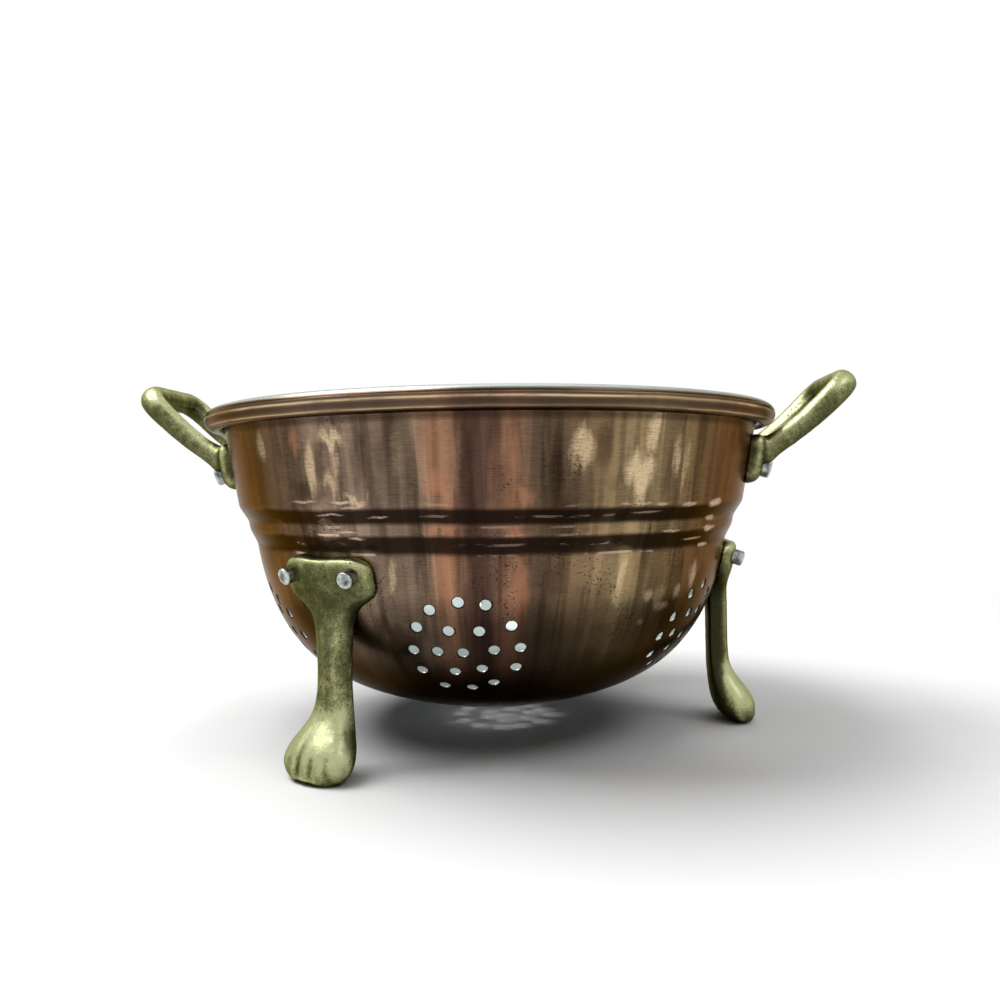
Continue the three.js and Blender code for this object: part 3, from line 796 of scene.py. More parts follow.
    def roll(self, copper, tone_and_reflection):
        """The rolled rim: plainer copper with painted dark and bright reflection lines along it"""
        crest = self.marked("crest")
        along = self.wrapped(6.0).noise(30.0, 4.0, 0.6)
        band = crest + (along - 0.5) * 0.09 * crest.clipped(0.01, 0.03)
        plain = tone_and_reflection.vector("MULTIPLY", (1.9, 1.8, 1.75))
        plain = plain.node(
            "Mix", {0: 0.6, 6: plain, 7: (0.15, 0.1, 0.066, 1)}, output=2, data_type="RGBA")
        copper = (crest.clipped(0.01, 0.04) * 0.85).blend(copper, plain)
        # Painted reflection lines round the roll
        copper = copper.vector("MULTIPLY", band.ramp(ROLL_SHADES)).vector("MULTIPLY", (2, 2, 2))
        # Painted highlight lines along the roll
        painted_highlight = band.clipped(0.48, 0.51) * (1 - band.clipped(0.53, 0.56))
        painted_highlight = painted_highlight + band.clipped(0.22, 0.25) * (1 - band.clipped(0.26, 0.29)) * 0.5
        painted_highlight = painted_highlight * (0.15 + along.clipped(0.45, 0.55) * 0.7)
        return painted_highlight.blend(copper, (0.62, 0.48, 0.28))

    def tin(self, tin, cloud):
        """Tin with pale clouds, stains and specks"""
        stain = self.place.noise(22.0, 5.0, 0.65).clipped(0.48, 0.7)
        clouded = (cloud * 0.7 + self.lines * 0.4).blend(shaded(tin, 0.62), shaded(tin))
        stained = (stain * 0.4).blend(clouded, (0.3, 0.29, 0.25))
        return (self.specks * 0.6).blend(stained, (0.16, 0.13, 0.1))


def copper_finish(name, colours):
    """Spun copper, tarnished and with painted reflections and shade in long curtains; bright tin
    inside
    """
    metal = Copper(name, colours)
    tone_and_reflection = metal.tone_and_reflection()
    copper = metal.painted_reflections(metal.curtains(tone_and_reflection))
    copper = metal.roll(metal.shades(metal.steps(copper)), tone_and_reflection)
    # The holes' turned-in edges are painted darker
    copper = (metal.marked("punched") * 0.8).blend(copper, shaded(colours.tarnish_and_shade, 0.15))
    tinned = metal.marked("tinned")
    cloud = metal.place.noise(60.0, 4.0, 0.6)
    metal.link("Base Color", tinned.blend(copper, metal.tin(colours.tin, cloud)))
    rough = 0.17 + metal.blotches * 0.1 + metal.lines * 0.05 + metal.specks * 0.3
    metal.link("Roughness", rough * (1 - tinned) + (0.28 + cloud * 0.14) * tinned)
    metal.surface.inputs["Specular Tint"].default_value = (0.62, 0.53, 0.45, 1)
    grain = metal.lines * 0.3 + metal.place.noise(900.0, 3.0, 0.6) * 0.3
    metal.dent(grain + metal.blotches * 2.0 + metal.specks * -1.0, 0.05 * mm, 0.5)
    return metal.material


def brass_finish(name, colours):
    """Old cast brass: bright where it is rubbed and where painted light falls, dull green-brown in
    the hollows
    """
    metal = Metal(name)
    place = metal.place
    cloud = place.noise(160.0, 5.0, 0.65)
    grain = place.noise(1900.0, 4.0, 0.7)
    # The mark holds rubbing and painted light: brighter tops, ridges and paws, painted shade on the
    # legs' sides and backs
    shine = metal.marked("worn_and_lit") * 0.88 + (cloud - 0.5) * 0.65 + (grain - 0.5) * 0.7 + 0.12
    shine = shine.clipped(0.1, 1.0)
    colour = shine.ramp((
        (0.0, shaded(colours.aged_brass, 0.5)), (0.3, shaded(colours.aged_brass)),
        (0.62, shaded(colours.brass, 0.8)), (0.82, shaded(colours.brass, 1.6)),
        (1.0, shaded(colours.bright_brass))))
    pits = place.node("TexVoronoi", {"Vector": place, "Scale": 620.0})
    pit = (1 - pits.clipped(0.1, 0.26)) * cloud.clipped(0.5, 0.6)
    metal.link("Base Color", (pit * 0.85).blend(colour, shaded(colours.aged_brass, 0.3)))
    metal.link("Roughness", 0.36 + cloud * 0.14 - shine * 0.12)
    metal.surface.inputs["Specular Tint"].default_value = (0.55, 0.55, 0.4, 1)
    metal.dent(grain * 1.1 + pit * -1.5 + cloud * 1.2, 0.1 * mm, 0.7)
    return metal.material


def rivet_finish(name, colours):
    """Dull hammered metal, bright on its edges"""
    metal = Metal(name)
    cloud = metal.place.noise(420.0, 3.0, 0.6)
    grain = metal.place.noise(2500.0, 3.0, 0.6)
    shine = metal.marked("worn_and_lit") * 0.8 + cloud.clipped(0.3, 0.7) * 0.55 + grain * 0.3
    shine = shine.clipped(0.35, 1.35)
    metal.link("Base Color", shine.blend(shaded(colours.rivet, 0.14), shaded(colours.rivet, 1.5)))
    metal.link("Roughness", 0.2 + cloud * 0.2)
    metal.dent(grain + cloud * 2.0, 0.08 * mm, 0.6)
    return metal.material


METALS = {
    "old_copper_and_tin": copper_finish, "old_cast_brass": brass_finish,
    "hammered_rivet": rivet_finish}


def finish(name):
    """A finish that is made once and then shared"""
    made = bpy.data.materials.get(name)
    return made or METALS[name](name, bpy.context.scene.colander_finishes)


# The pieces

class COLANDER_OT_bowl(bpy.types.Operator):
    """Spins the copper bowl, rolls its rim and punches its drain holes"""

    bl_idname = "colander.bowl"
    bl_label = "Bowl"

    def execute(self, context):
        sizes = context.scene.colander_bowl
        line = outline(sizes)
        kept = kept_places(line)
        inside = pushed(line, -sizes.sheet)[kept][::-1]
        inside[-1, 0] = 0
        over = curl(sizes, sizes.roll_radius, 44)
        under = curl(sizes, sizes.roll_radius - sizes.sheet, 26)
        profile = np.concatenate([line[kept][:-1], under, over[::-1], inside[1:]])
        bowl = turn_profile([tuple(point) for point in profile], sizes.facets)
        join_with(bowl, self.hole_punches(sizes, line), "DIFFERENCE")
        self.mark_roll_and_tin(bowl, sizes, line)
        self.mark_hole_edges(bowl, sizes, line)
        finish_piece(
            bowl, "spun_bowl", "bowl", finish("old_copper_and_tin"), smooth=35)
        return {"FINISHED"}

    def hole_punches(self, sizes, line):
        """All the punches as one tool: each is flared where it meets a face of the sheet"""
        radius, sheet = sizes.hole_radius, sizes.sheet
        flare = EDGE_FLARE * radius
        reach = 2.5 * sheet
        edge, outer_depth, inner_depth = 0.05 * mm, 0.25 * mm, 0.7 * sheet
        punch = turn_profile(
            [(0, -reach), (flare, -reach), (flare, -sheet - edge), (radius, -inner_depth),
             (radius, -outer_depth), (flare, edge), (flare, reach), (0, reach)], 20)
        copies = [copy_at(punch, seat) for seat in self.hole_seats(sizes, line, math.pi)]
        start_fresh()
        for copied in copies:
            copied.select_set(True)
        bpy.context.view_layer.objects.active = copies[0]
        bpy.ops.object.join()
        bpy.data.objects.remove(punch)
        return copies[0]

    def hole_seats(self, sizes, line, bottom_turn=0.0):
        """A frame for each hole, +Z out of the wall; those in the bottom can be turned over"""
        for cluster, turn in enumerate(CLUSTERS):
            for up, across in self.slipped(cluster):
                height = up_the_wall(line, sizes.cluster_height, up)
                angle = math.radians(turn) + across / wall_at(line, height)[0]
                yield wall_frame(line, angle, height)
        for x, y in self.slipped(2):
            yield Matrix.Translation((x, y, sizes.bottom)) @ Matrix.Rotation(bottom_turn, 4, "X")

    def slipped(self, cluster):
        """The places of a cluster's holes, each as far off as punching by hand leaves it"""
        mirror = -1 if cluster % 2 == 0 else 1
        shift = (cluster - 1) * 5
        for place, (up, across) in enumerate(cluster_places()):
            slip_up, slip_across = HOLE_SLIPS[(place + shift) % len(HOLE_SLIPS)]
            yield up + slip_up * mm, mirror * (across + slip_across * mm)

    def mark_roll_and_tin(self, bowl, sizes, line):
        """Marks the places round the roll, and what is tinned: the inside and the roll's crest"""
        points = read_points(bowl)
        radius, height = np.hypot(points[:, 0], points[:, 1]), points[:, 2]
        roll_out = radius - (sizes.rim_radius - sizes.roll_radius)
        roll_up = height - (sizes.rim_top - sizes.roll_radius)
        crest = np.degrees(np.arctan2(roll_up, roll_out))
        on_roll = np.hypot(roll_out, roll_up) < sizes.roll_radius * 1.02
        wall = np.interp(height, line[:, 1], line[:, 0])
        half_sheet = 0.5 * sizes.sheet
        inner = np.where(
            height < sizes.bottom + 3 * mm, height > sizes.bottom + half_sheet,
            radius < wall - half_sheet)
        mark(bowl, "tinned", np.where(on_roll, (crest - 38) / 12, inner))
        mark(bowl, "crest", np.where(on_roll & (np.abs(crest) < 90), crest / 180 + 0.5, 0))

    def mark_hole_edges(self, bowl, sizes, line):
        """Marks the turned-in edges of the holes, which are painted darker"""
        count = len(bowl.data.polygons)
        middles, areas = np.zeros(count * 3, np.float32), np.zeros(count, np.float32)
        bowl.data.polygons.foreach_get("center", middles)
        bowl.data.polygons.foreach_get("area", areas)
        middles = middles.reshape(-1, 3)
        dull = np.zeros(count)
        for seat in self.hole_seats(sizes, line):
            off = middles - np.array(seat.translation)
            axis = np.array(seat.to_3x3() @ Vector((0, 0, 1)))
            lift = off @ axis
            aside = np.linalg.norm(off - lift[:, None] * axis, axis=1)
            dull[(aside < EDGE_FLARE * sizes.hole_radius) & (lift > -0.6 * sizes.sheet)] = 1
        dull[areas > (0.8 * mm) ** 2] = 0
        mark(bowl, "punched", dull, "FACE")


class COLANDER_OT_legs(bpy.types.Operator):
    """Casts one paw leg, seats it on the wall and copies it round the bowl"""

    bl_idname = "colander.legs"
    bl_label = "Legs"

    def execute(self, context):
        bowl = context.scene.colander_bowl
        sizes = context.scene.colander_castings
        line = outline(bowl)
        leg = skin(self.sections(sizes, line))
        join_with(leg, grown_bowl(bowl, SEAT_GAP), "DIFFERENCE")
        melt(leg, CASTING_GRID, 4)
        for place, (name, degrees) in enumerate(LEGS.items()):
            cast = copy_at(leg, Matrix())
            self.carve(cast, TOE_SHIFTS[name])
            roughen(cast, sizes.grain, CASTING_GRAIN, 3.0 + place)
            self.stand_flat(cast)
            mark(cast, "worn_and_lit", wear_and_top_light(cast, line) + self.painted_side_light(cast))
            cast.data.transform(turned(degrees))
            finish_piece(
                cast, name + "_cast", name, finish("old_cast_brass"), smooth=60)
        bpy.data.objects.remove(leg)
        return {"FINISHED"}

    def carve(self, leg, shift):
        """Parts the toes, lays long hollows up the shank and lets the head's top edge sag"""
        points, normals = read_points(leg) / mm, read_normals(leg)
        across, height = points[:, 1], points[:, 2]
        depth = np.zeros(len(points))
        for foot, top, high, width, deep in TOE_LINES:
            share = np.clip((height + 1) / (high + 1), 0, 1)
            fade = np.clip((1 - share) * 3, 0, 1) * np.clip(height / 4, 0.15, 1)
            off = across - shift - foot - (top - foot) * share
            depth += deep * fade * np.exp(-((off / width) ** 2))
        for foot, top, low, high, width, deep in SHANK_HOLLOWS:
            share = np.clip((height - low) / (high - low), 0, 1)
            fade = np.clip((1 - share) * 4, 0, 1) * np.clip(share * 8, 0, 1)
            off = across - foot - (top - foot) * share
            depth += deep * fade * np.exp(-((off / width) ** 2))
        facing = np.clip(normals[:, 0] * 1.5, 0, 1)
        sag = 0.6 * np.exp(-((across / 8) ** 2)) * np.clip((height - 60) / 4.5, 0, 1)
        points -= normals * (depth * facing)[:, None]
        points[:, 2] -= sag
        write_points(leg, points * mm)

    def stand_flat(self, cast):
        """Files the toes to the floor"""
        points = read_points(cast)
        points[:, 2] = np.maximum(points[:, 2], 0.02 * mm)
        write_points(cast, points)

    def painted_side_light(self, cast):
        """Painted light: brighter on the paw, painted highlights along the rounded edges, painted
        shade on the back and on one inner side
        """
        points, normals = read_points(cast), read_normals(cast)
        paw = np.clip((24 * mm - points[:, 2]) / (8 * mm), 0, 1)
        rounded = np.exp(-(((np.abs(normals[:, 1]) - 0.65) / 0.25) ** 2)) * (1 - paw)
        reach = np.hypot(points[:, 0], points[:, 1])
        inner = np.clip((83.2 * mm - reach) / (3.2 * mm), 0, 1)
        side = np.clip((-normals[:, 1] - 0.3) / 0.4, 0, 1) * inner
        back = np.clip(-normals[:, 0] / 0.5, 0, 1)
        # Painted highlights on the rounded edges, painted shade on the inner side and the back, and
        # painted light on the paw
        return 0.152 * rounded - 0.76 * side - 0.608 * back + 0.2 * paw

    def sections(self, sizes, line):
        """Sections from the toe tips to the top of the head"""
        reach, shank_width, trim = 16.4, 10.4, 0.3
        paw = sizes.paw_width / mm
        front = SHANK_BACK + SHANK_DEPTH
        rows = []
        for sole_out, sole_up, step_out, step_up, swelling, groove in (
                (0.8, 0.01, 0.93, 0.1, 0.05, 0.6),
                (0.66, 0, 0.95, 0.25, 0.6, 1),
                (0.52, 0.04, 0.89, 0.4, 0.91, 0.9),
                (0.38, 0.12, 0.72, 0.54, 1, 0.6),
                (0.24, 0.21, 0.46, 0.69, 0.92, 0.3),
                (0.12, 0.33, 0.26, 0.81, 0.67, 0.1),
                (0.05, 0.55, 0.1, 0.91, 0.42, 0),
                (0.01, 0.77, 0.02, 1, 0.18, 0)):
            rows.append((
                SHANK_BACK + sole_out * reach, sole_up * (ANKLE + trim) - trim,
                front + step_out * (reach - SHANK_DEPTH), step_up * (ANKLE + trim) - trim,
                (shank_width + swelling * (paw - shank_width)) / 2, SHANK_SQUARENESS, 0,
                0.3 * min(1, swelling + groove), 0.02 * groove))
        for height, half in ((ANKLE + 3.3, 5.2), (28, 5.2), (34, 5.4), (39, 5.7), (44, 6.0)):
            rows.append((SHANK_BACK, height, front, height, half, SHANK_SQUARENESS, 0, 0, 0))
        head = sizes.head_width / (34 * mm)
        for height, half, flatness, fullness in (
                (46.6, 7.2, 0.2, 1), (48.6, 9.0, 0.42, 1), (50.6, 12.0, 0.66, 1),
                (52.1, 14.6, 0.83, 1), (53.8, 16.3, 0.94, 1), (56, 17, 1, 1), (58.4, 17.1, 1, 1),
                (60.4, 17, 1, 1), (62, 16.5, 1, 0.98), (63.2, 15.4, 1, 0.9), (64, 13.8, 1, 0.77),
                (64.5, 11.8, 1, 0.55)):
            rows.append(self.head_row(line, height, half * head, flatness, fullness))
        rows = self.densified(np.array(rows), 6)
        for _ in range(80):
            height = rows[1:-1, 3:4]
            self.smooth(rows, np.clip((height - 13) / 7, 0, 1) * np.clip((46 - height) / 6, 0, 1))
        for _ in range(30):
            self.smooth(rows, np.clip((52 - rows[1:-1, 3:4]) / 6, 0.05, 1))
        return np.array([self.section(*row) for row in rows]) * mm

    def head_row(self, line, height, half, flatness, fullness):
        """A section of the head, which flattens against the wall as the shank widens"""
        radius, normal = wall_at(line, height * mm)
        radius /= mm
        face = radius + (0.1 + 4.6 * fullness) / normal[0]
        back = SHANK_BACK + (radius - 1.2 - SHANK_BACK) * flatness
        shank_front = SHANK_BACK + SHANK_DEPTH
        front = shank_front + (face - shank_front) * flatness
        squareness = SHANK_SQUARENESS + (HEAD_SQUARENESS - SHANK_SQUARENESS) * flatness
        return (back, height, front, height, half, squareness, flatness, 0, 0)

    def smooth(self, rows, share):
        """Moves each row a share of the way to the middle of its neighbours"""
        rows[1:-1] += share * (rows[:-2] - 2 * rows[1:-1] + rows[2:]) / 4

    def densified(self, rows, steps):
        """More rows on a smooth curve through these"""
        ends = np.concatenate([2 * rows[:1] - rows[1:2], rows, 2 * rows[-1:] - rows[-2:-1]])
        found = []
        for a, b, c, d in zip(ends, ends[1:], ends[2:], ends[3:]):
            for t in np.arange(steps) / steps:
                found.append(0.5 * (2 * b + (c - a) * t + (2 * a - 5 * b + 4 * c - d) * t ** 2
                                    + (3 * b - a - 3 * c + d) * t ** 3))
        return np.array([*found, rows[-1]])

    def section(self, back_out, back_up, front_out, front_up, half, squareness, bend, edge, groove):
        """A section: flat behind, round in front, with dents between the toes"""
        bend = min(max(bend, 0), 1)
        edge = max(edge, 0)
        groove = max(groove, 0)
        front_count, back_count = 36, 20
        ring = []
        for k in range(front_count + back_count):
            if k <= front_count:
                angle = math.pi * k / front_count
                dents = sum(
                    math.exp(-(((angle - math.radians(toe)) / 0.13) ** 2)) for toe in (66, 90, 116))
                left = 1 - groove * dents
                across = -half * squared(math.cos(angle), squareness) * left
                share = edge + (1 - edge) * squared(math.sin(angle), squareness) * left
            else:
                angle = math.pi * (k - front_count) / back_count
                across = half * math.cos(angle)
                share = edge - (edge + 0.14) * squared(math.sin(angle), squareness)
            out = back_out + (front_out - back_out) * share
            up = back_up + (front_up - back_up) * share
            wrapped = math.sqrt(max(out ** 2 - across ** 2, 0))
            ring.append((out + bend * (wrapped - out), across, up))
        return ring


class COLANDER_OT_handles(bpy.types.Operator):
    """Casts one loop handle, seats it on the wall and copies it to both sides"""

    bl_idname = "colander.handles"
    bl_label = "Handles"

    def execute(self, context):
        bowl = context.scene.colander_bowl
        sizes = context.scene.colander_castings
        line = outline(bowl)
        handle = skin(self.plate(sizes, line))
        join_with(handle, skin(self.loop(sizes, line)), "UNION")
        join_with(handle, grown_bowl(bowl, SEAT_GAP), "DIFFERENCE")
        melt(handle, CASTING_GRID, 5)
        self.fill_roots(handle, sizes, line)
        for place, (name, degrees) in enumerate(HANDLES.items()):
            cast = copy_at(handle, Matrix())
            roughen(cast, sizes.grain, CASTING_GRAIN, 11.0 + place)
            mark(cast, "worn_and_lit", wear_and_top_light(cast, line))
            cast.data.transform(turned(degrees))
            finish_piece(
                cast, name + "_cast", name, finish("old_cast_brass"), smooth=60)
        bpy.data.objects.remove(handle)
        return {"FINISHED"}

    def fill_roots(self, handle, sizes, line):
        """Rounds the corners where the strands leave the plate"""
        height = sizes.plate_middle + 4 * mm
        out = wall_at(line, height)[0] + 5 * mm
        off = read_points(handle) - (out, 0, height)
        off[:, 1] = np.abs(off[:, 1]) - LOOP_SPACING / 2
        near = np.exp(-((np.linalg.norm(off, axis=1) / (6 * mm)) ** 4))
        group = handle.vertex_groups.new(name="roots")
        for index in np.flatnonzero(near > 0.02):
            group.add([int(index)], float(near[index]), "REPLACE")
        apply(handle, "SMOOTH", factor=0.5, iterations=26, vertex_group="roots")
        handle.vertex_groups.clear()

    def plate(self, sizes, line):
        """Sections of the plate round the wall, from one end to the other"""
        thickness, corner, sink, belly = 4.8 * mm, 3.4 * mm, 1.2 * mm, 0.6 * mm
        around = 32
        straight = sizes.plate_width / 2 - corner
        wall_radius = wall_at(line, sizes.plate_middle)[0]
        end = []
        for t in (3, 15, 30, 45, 60, 75):
            turn = math.sin(math.radians(t))
            across = straight + corner * math.cos(math.radians(t))
            end.append((across, sizes.plate_height / 2 - corner * (1 - turn), 0.6 + 0.4 * turn))
        middle = [(share * straight, sizes.plate_height / 2, 1) for share in np.linspace(-1, 1, 25)]
        rows = [(-across, half, fullness) for across, half, fullness in end] + middle + end[::-1]
        rings = []
        for across, half, fullness in rows:
            angle = across / wall_radius
            ring = []
            for k in range(around):
                turn = 2 * math.pi * k / around
                height = sizes.plate_middle + half * squared(math.cos(turn), PLATE_SQUARENESS)
                radius, normal = wall_at(line, height)
                depth = (0.1 * mm + thickness) * fullness + sink
                lift = depth * max(squared(math.sin(turn), PLATE_SQUARENESS), 0) - sink
                radius += lift / normal[0] + belly * min(math.sin(turn), 0)
                ring.append((radius * math.cos(angle), radius * math.sin(angle), height))
            rings.append(ring)
        return rings

    def loop(self, sizes, line):
        """Sections along the bent bar: two strands that rise from the plate, and the far bar"""
        root_out, root_up, sunk = 2.7 * mm, 3.0 * mm, 2.6 * mm
        root_slope, bar_slope = 0.55, 1.06
        root_thick, bar_thick, bar_broad = 6.4 * mm, 8.6 * mm, 7.0 * mm
        flare, flare_length = 0.42, 3.2 * mm
        ridge_turn, ridge_height, ridge_width = math.radians(-80), 0.16, 0.025
        around = 28
        root_height = sizes.plate_middle + root_up
        wall_radius = wall_at(line, root_height)[0]
        root = np.array((wall_radius + root_out, root_height))
        bar = np.array((wall_radius + sizes.loop_reach, root_height + sizes.loop_rise))
        leaving = np.array((1, root_slope)) / math.hypot(1, root_slope)
        arriving = np.array((1, bar_slope)) / math.hypot(1, bar_slope)
        third = np.linalg.norm(bar - root) / 3
        side = bent(root, (root + third * leaving, bar - third * arriving), bar, 200)
        side = np.concatenate([[root - sunk * leaving], side])
        along = np.concatenate([[0], np.cumsum(np.linalg.norm(np.diff(side, axis=0), axis=1))])

        def place(gone):
            """How far out and up the bar is after a distance along its side view"""
            return np.array([np.interp(gone, along, side[:, k]) for k in (0, 1)])

        length = along[-1]
        path = self.loop_path(length)
        ways = np.gradient(path, axis=0)
        ways /= np.linalg.norm(ways, axis=1)[:, None]
        rings = []
        for (across, gone), (step_across, step_along) in zip(path, ways):
            share = min(max(gone / length, 0), 1)
            out, up = place(gone)
            run = place(gone + 0.2 * mm) - place(gone - 0.2 * mm)
            run_out, run_up = run / np.linalg.norm(run)
            above = np.array((-run_up, 0, run_out))
            ahead = np.array((run_out * step_along, step_across, run_up * step_along))
            beside = np.cross(ahead, above)
            fuller = 1 + flare * math.exp(-max(gone - sunk, 0) / flare_length)
            thick = (root_thick + (bar_thick - root_thick) * share) / 2 * fuller
            broad = (root_thick + (bar_broad - root_thick) * share) / 2 * fuller
            ring = []
            for k in range(around):
                angle = 2 * math.pi * k / around
                off_ridge = 1 - math.cos(angle - ridge_turn)
                ridge = 1 + ridge_height * math.exp(-off_ridge / ridge_width)
                ring.append(np.array((out, across, up)) + ridge * (
                    above * thick * math.cos(angle) + beside * broad * math.sin(angle)))
            rings.append(ring)
        return rings

    def loop_path(self, length):
        """The bar's middle seen from above: (across, distance from the root), rounded at the ends"""
        corner, half = 7.5 * mm, LOOP_SPACING / 2
        quarter = [(half - corner + corner * math.sin(a), length - corner + corner * math.cos(a))
                   for a in np.linspace(0, math.pi / 2, 16)]
        path = [(-half, 0), *[(-x, y) for x, y in quarter[::-1]], *quarter, (half, 0)]
        return evened(path, 0.9 * mm)


class COLANDER_OT_rivets(bpy.types.Operator):
    """Sets a pair of rivets through each handle and leg"""

    bl_idname = "colander.rivets"
    bl_label = "Rivets"

    def execute(self, context):
        bowl = context.scene.colander_bowl
        sizes = context.scene.colander_castings
        line = outline(bowl)
        kinds = (
            (HANDLES, sizes.plate_middle - 1.5 * mm, sizes.plate_width - 14 * mm,
             (3.2 * mm, 4.8 * mm, 2.7 * mm)),
            (LEGS, sizes.leg_rivet_height, sizes.head_width - 10.8 * mm,
             (2.6 * mm, 4.4 * mm, 3.0 * mm)))
        lean = Matrix.Rotation(math.radians(7), 4, "Y")
        seed = 20.0
        for places, height, spacing, stud_sizes in kinds:
            stud = self.stud(bowl.sheet, *stud_sizes)
            for name, degrees in places.items():
                for end, spot in zip("ab", wall_pair(line, degrees, height, spacing)):
                    seed += 1
                    rivet = copy_at(stud, Matrix.Rotation(seed * 1.7, 4, "Z"))
                    roughen(rivet, 0.07 * mm, 1.6 * mm, seed)
                    rivet.data.transform(spot @ lean)
                    finish_piece(rivet, f"{name}_stud_{end}", f"{name}_rivet_{end}",
                                 finish("hammered_rivet"), smooth=40)
            bpy.data.objects.remove(stud)
        return {"FINISHED"}

    def stud(self, sheet, radius, casting, proud):
        """A stud through casting and wall, with a flat button head inside the bowl"""
        tip = casting + proud
        seat = -sheet - 0.05 * mm
        bead = 0.75 * mm
        button = [(0, -1.5), (2, -1.4), (3.6, -1.0), (4.6, -0.4), (4.75, 0)]
        crown = [(-1.1, 0.06), (-1.6, 0.1), (-2.1, 0.14)]
        profile = [
            *[(out * mm, seat + down * mm) for out, down in button], (radius, seat),
            (radius, 0), (radius, casting), (radius, (casting + tip) / 2),
            *[(radius - bead + bead * math.sin(a), tip - bead + bead * math.cos(a))
              for a in np.radians((90, 65, 40, 15))],
            *[(radius + out * mm, tip + up * mm) for out, up in crown], (0, tip + 0.16 * mm)]
        piece = turn_profile(profile, 40)
        points = read_points(piece)
        out = np.hypot(points[:, 0], points[:, 1]) / radius
        worn_and_lit = np.interp(out, (0, 0.3, 0.6, 0.8, 0.97, 1), (0.3, 0.32, 0.5, 0.8, 0.85, 0.5))
        mark(piece, "worn_and_lit", np.where(points[:, 2] < 0, 0.6, worn_and_lit))
        return piece


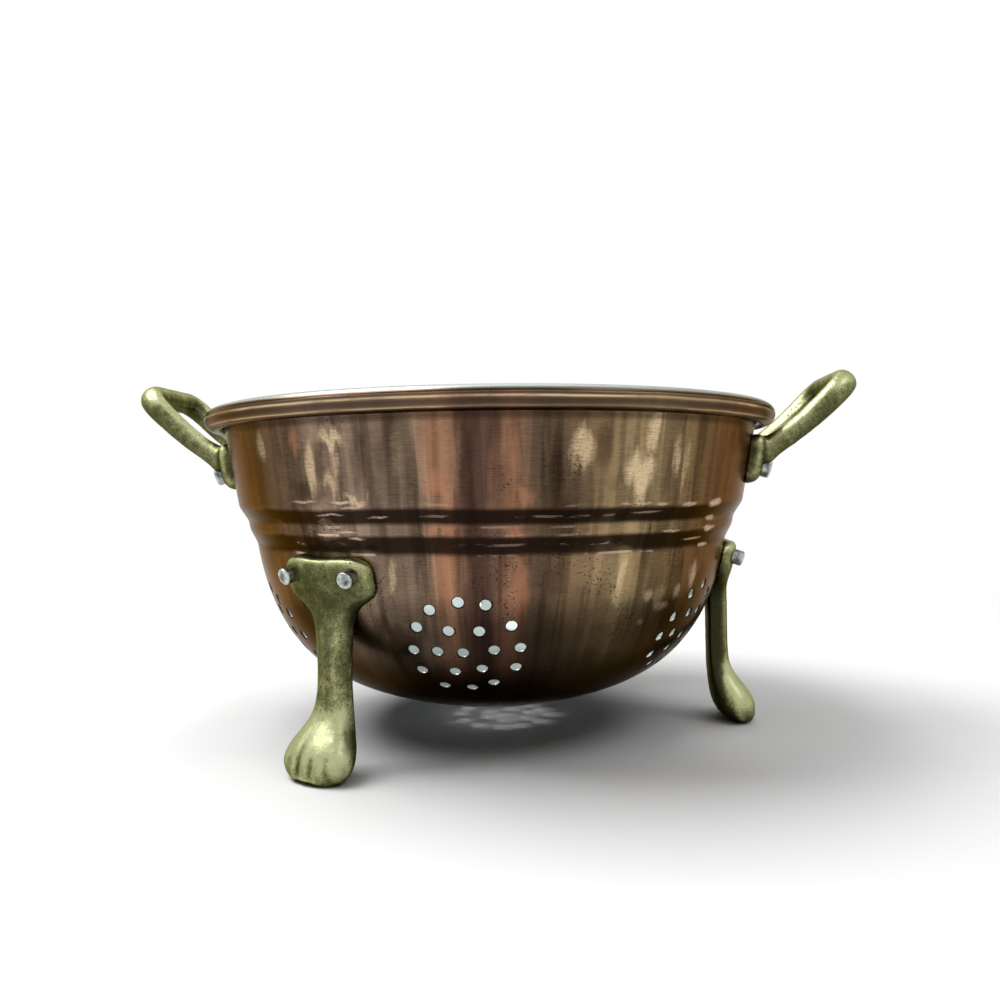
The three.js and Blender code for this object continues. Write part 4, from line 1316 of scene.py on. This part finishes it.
class COLANDER_OT_stage(bpy.types.Operator):
    """Lays a pale floor, hangs soft studio lamps and sets the camera"""

    bl_idname = "colander.stage"
    bl_label = "Stage"

    def execute(self, context):
        self.floor()
        self.world(context.scene)
        for name, place, size, power in LAMPS:
            self.lamp(name, place, size, power)
        self.camera(context.scene)
        return {"FINISHED"}

    def floor(self):
        """A pale floor that fades into the white of the backdrop"""
        start_fresh()
        bpy.ops.mesh.primitive_circle_add(vertices=96, radius=6, fill_type="NGON")
        floor = bpy.context.object
        floor.name = "floor"
        pale = bpy.data.materials.new("pale_floor")
        pale.use_nodes = True
        tree = pale.node_tree
        tree.nodes.clear()
        start = Wire(tree)
        far = start.node("TexCoord", output="Object").vector("LENGTH", output=1).clipped(0.2, 0.6)
        near = start.node("BsdfPrincipled", {"Base Color": (0.9, 0.9, 0.9, 1), "Roughness": 0.8})
        white = start.node("Emission", {"Color": (1, 1, 1, 1), "Strength": 1.0})
        shown = far * seen_ray(start)
        mixed = shown.node("MixShader", {0: shown, 1: near, 2: white})
        end = tree.nodes.new("ShaderNodeOutputMaterial")
        tree.links.new(mixed.socket, end.inputs[0])
        floor.data.materials.append(pale)

    def world(self, scene):
        """Soft light from overhead, in front of a white backdrop"""
        horizon, overhead = 0.01, 1.25
        world = bpy.data.worlds.new("studio")
        scene.world = world
        world.use_nodes = True
        tree = world.node_tree
        tree.nodes.clear()
        start = Wire(tree)
        way = start.node("TexCoord", output="Generated")
        rise = way.node("SeparateXYZ", {0: way}, output="Z").clipped(0.5, 1.0)
        seen = seen_ray(start)
        strength = (horizon + rise * overhead) * (1 - seen) + seen
        light = start.node("Background", {"Color": (1, 1, 1, 1), "Strength": strength})
        end = tree.nodes.new("ShaderNodeOutputWorld")
        tree.links.new(light.socket, end.inputs[0])

    def lamp(self, name, place, size, power):
        """A square soft lamp that faces the middle of the bowl"""
        start_fresh()
        bpy.ops.object.light_add(type="AREA", location=place)
        lamp = bpy.context.object
        lamp.name = name
        lamp.data.size = size
        lamp.data.energy = power
        aim = Vector((0, 0, 0.06)) - lamp.location
        lamp.rotation_euler = aim.to_track_quat("-Z", "Y").to_euler()

    def camera(self, scene):
        """The camera stands where the photograph was taken from"""
        distance, height = 325 * mm, 83.77 * mm
        yaw, pitch, roll = 0.0096, 0.014, -0.0129
        start_fresh()
        bpy.ops.object.camera_add()
        camera = bpy.context.object
        camera.name = "photo_camera"
        level = Vector((math.sin(yaw), math.cos(yaw), 0))
        right = Vector((math.cos(yaw), -math.sin(yaw), 0))
        ahead = level * math.cos(pitch) + Vector((0, 0, -math.sin(pitch)))
        above = level * math.sin(pitch) + Vector((0, 0, math.cos(pitch)))
        across = right * math.cos(roll) + above * math.sin(roll)
        upward = above * math.cos(roll) - right * math.sin(roll)
        seat = Matrix((across, upward, -ahead)).transposed().to_4x4()
        seat.translation = Vector((0, -distance, height))
        camera.matrix_world = turned(FRONT) @ seat
        camera.data.lens = 31.79
        camera.data.sensor_width = 36
        camera.data.clip_start = 0.01
        camera.data.clip_end = 50
        scene.camera = camera
        scene.view_settings.view_transform = "Standard"


class COLANDER_PT_panel(bpy.types.Panel):
    """Lists the steps that make the colander, and its sizes and colours"""

    bl_label = "Colander"
    bl_space_type = "VIEW_3D"
    bl_region_type = "UI"
    bl_category = "Colander"

    def draw(self, context):
        scene = context.scene
        for step in STEPS:
            self.layout.operator(step.bl_idname)
        for group in (scene.colander_bowl, scene.colander_castings, scene.colander_finishes):
            box = self.layout.box()
            for name in group.__annotations__:
                box.prop(group, name)


STEPS = (COLANDER_OT_stage, COLANDER_OT_bowl, COLANDER_OT_handles, COLANDER_OT_legs,
         COLANDER_OT_rivets)
CLASSES = (BowlSizes, CastingSizes, Finishes, *STEPS, COLANDER_PT_panel)


def register():
    for made in CLASSES:
        bpy.utils.register_class(made)
    bpy.types.Scene.colander_bowl = PointerProperty(type=BowlSizes)
    bpy.types.Scene.colander_castings = PointerProperty(type=CastingSizes)
    bpy.types.Scene.colander_finishes = PointerProperty(type=Finishes)


def unregister():
    del bpy.types.Scene.colander_finishes
    del bpy.types.Scene.colander_castings
    del bpy.types.Scene.colander_bowl
    for made in reversed(CLASSES):
        bpy.utils.unregister_class(made)


def main():
    register()
    bpy.ops.colander.stage()
    bpy.ops.colander.bowl()
    bpy.ops.colander.handles()
    bpy.ops.colander.legs()
    bpy.ops.colander.rivets()


if __name__ == "__main__":
    main()
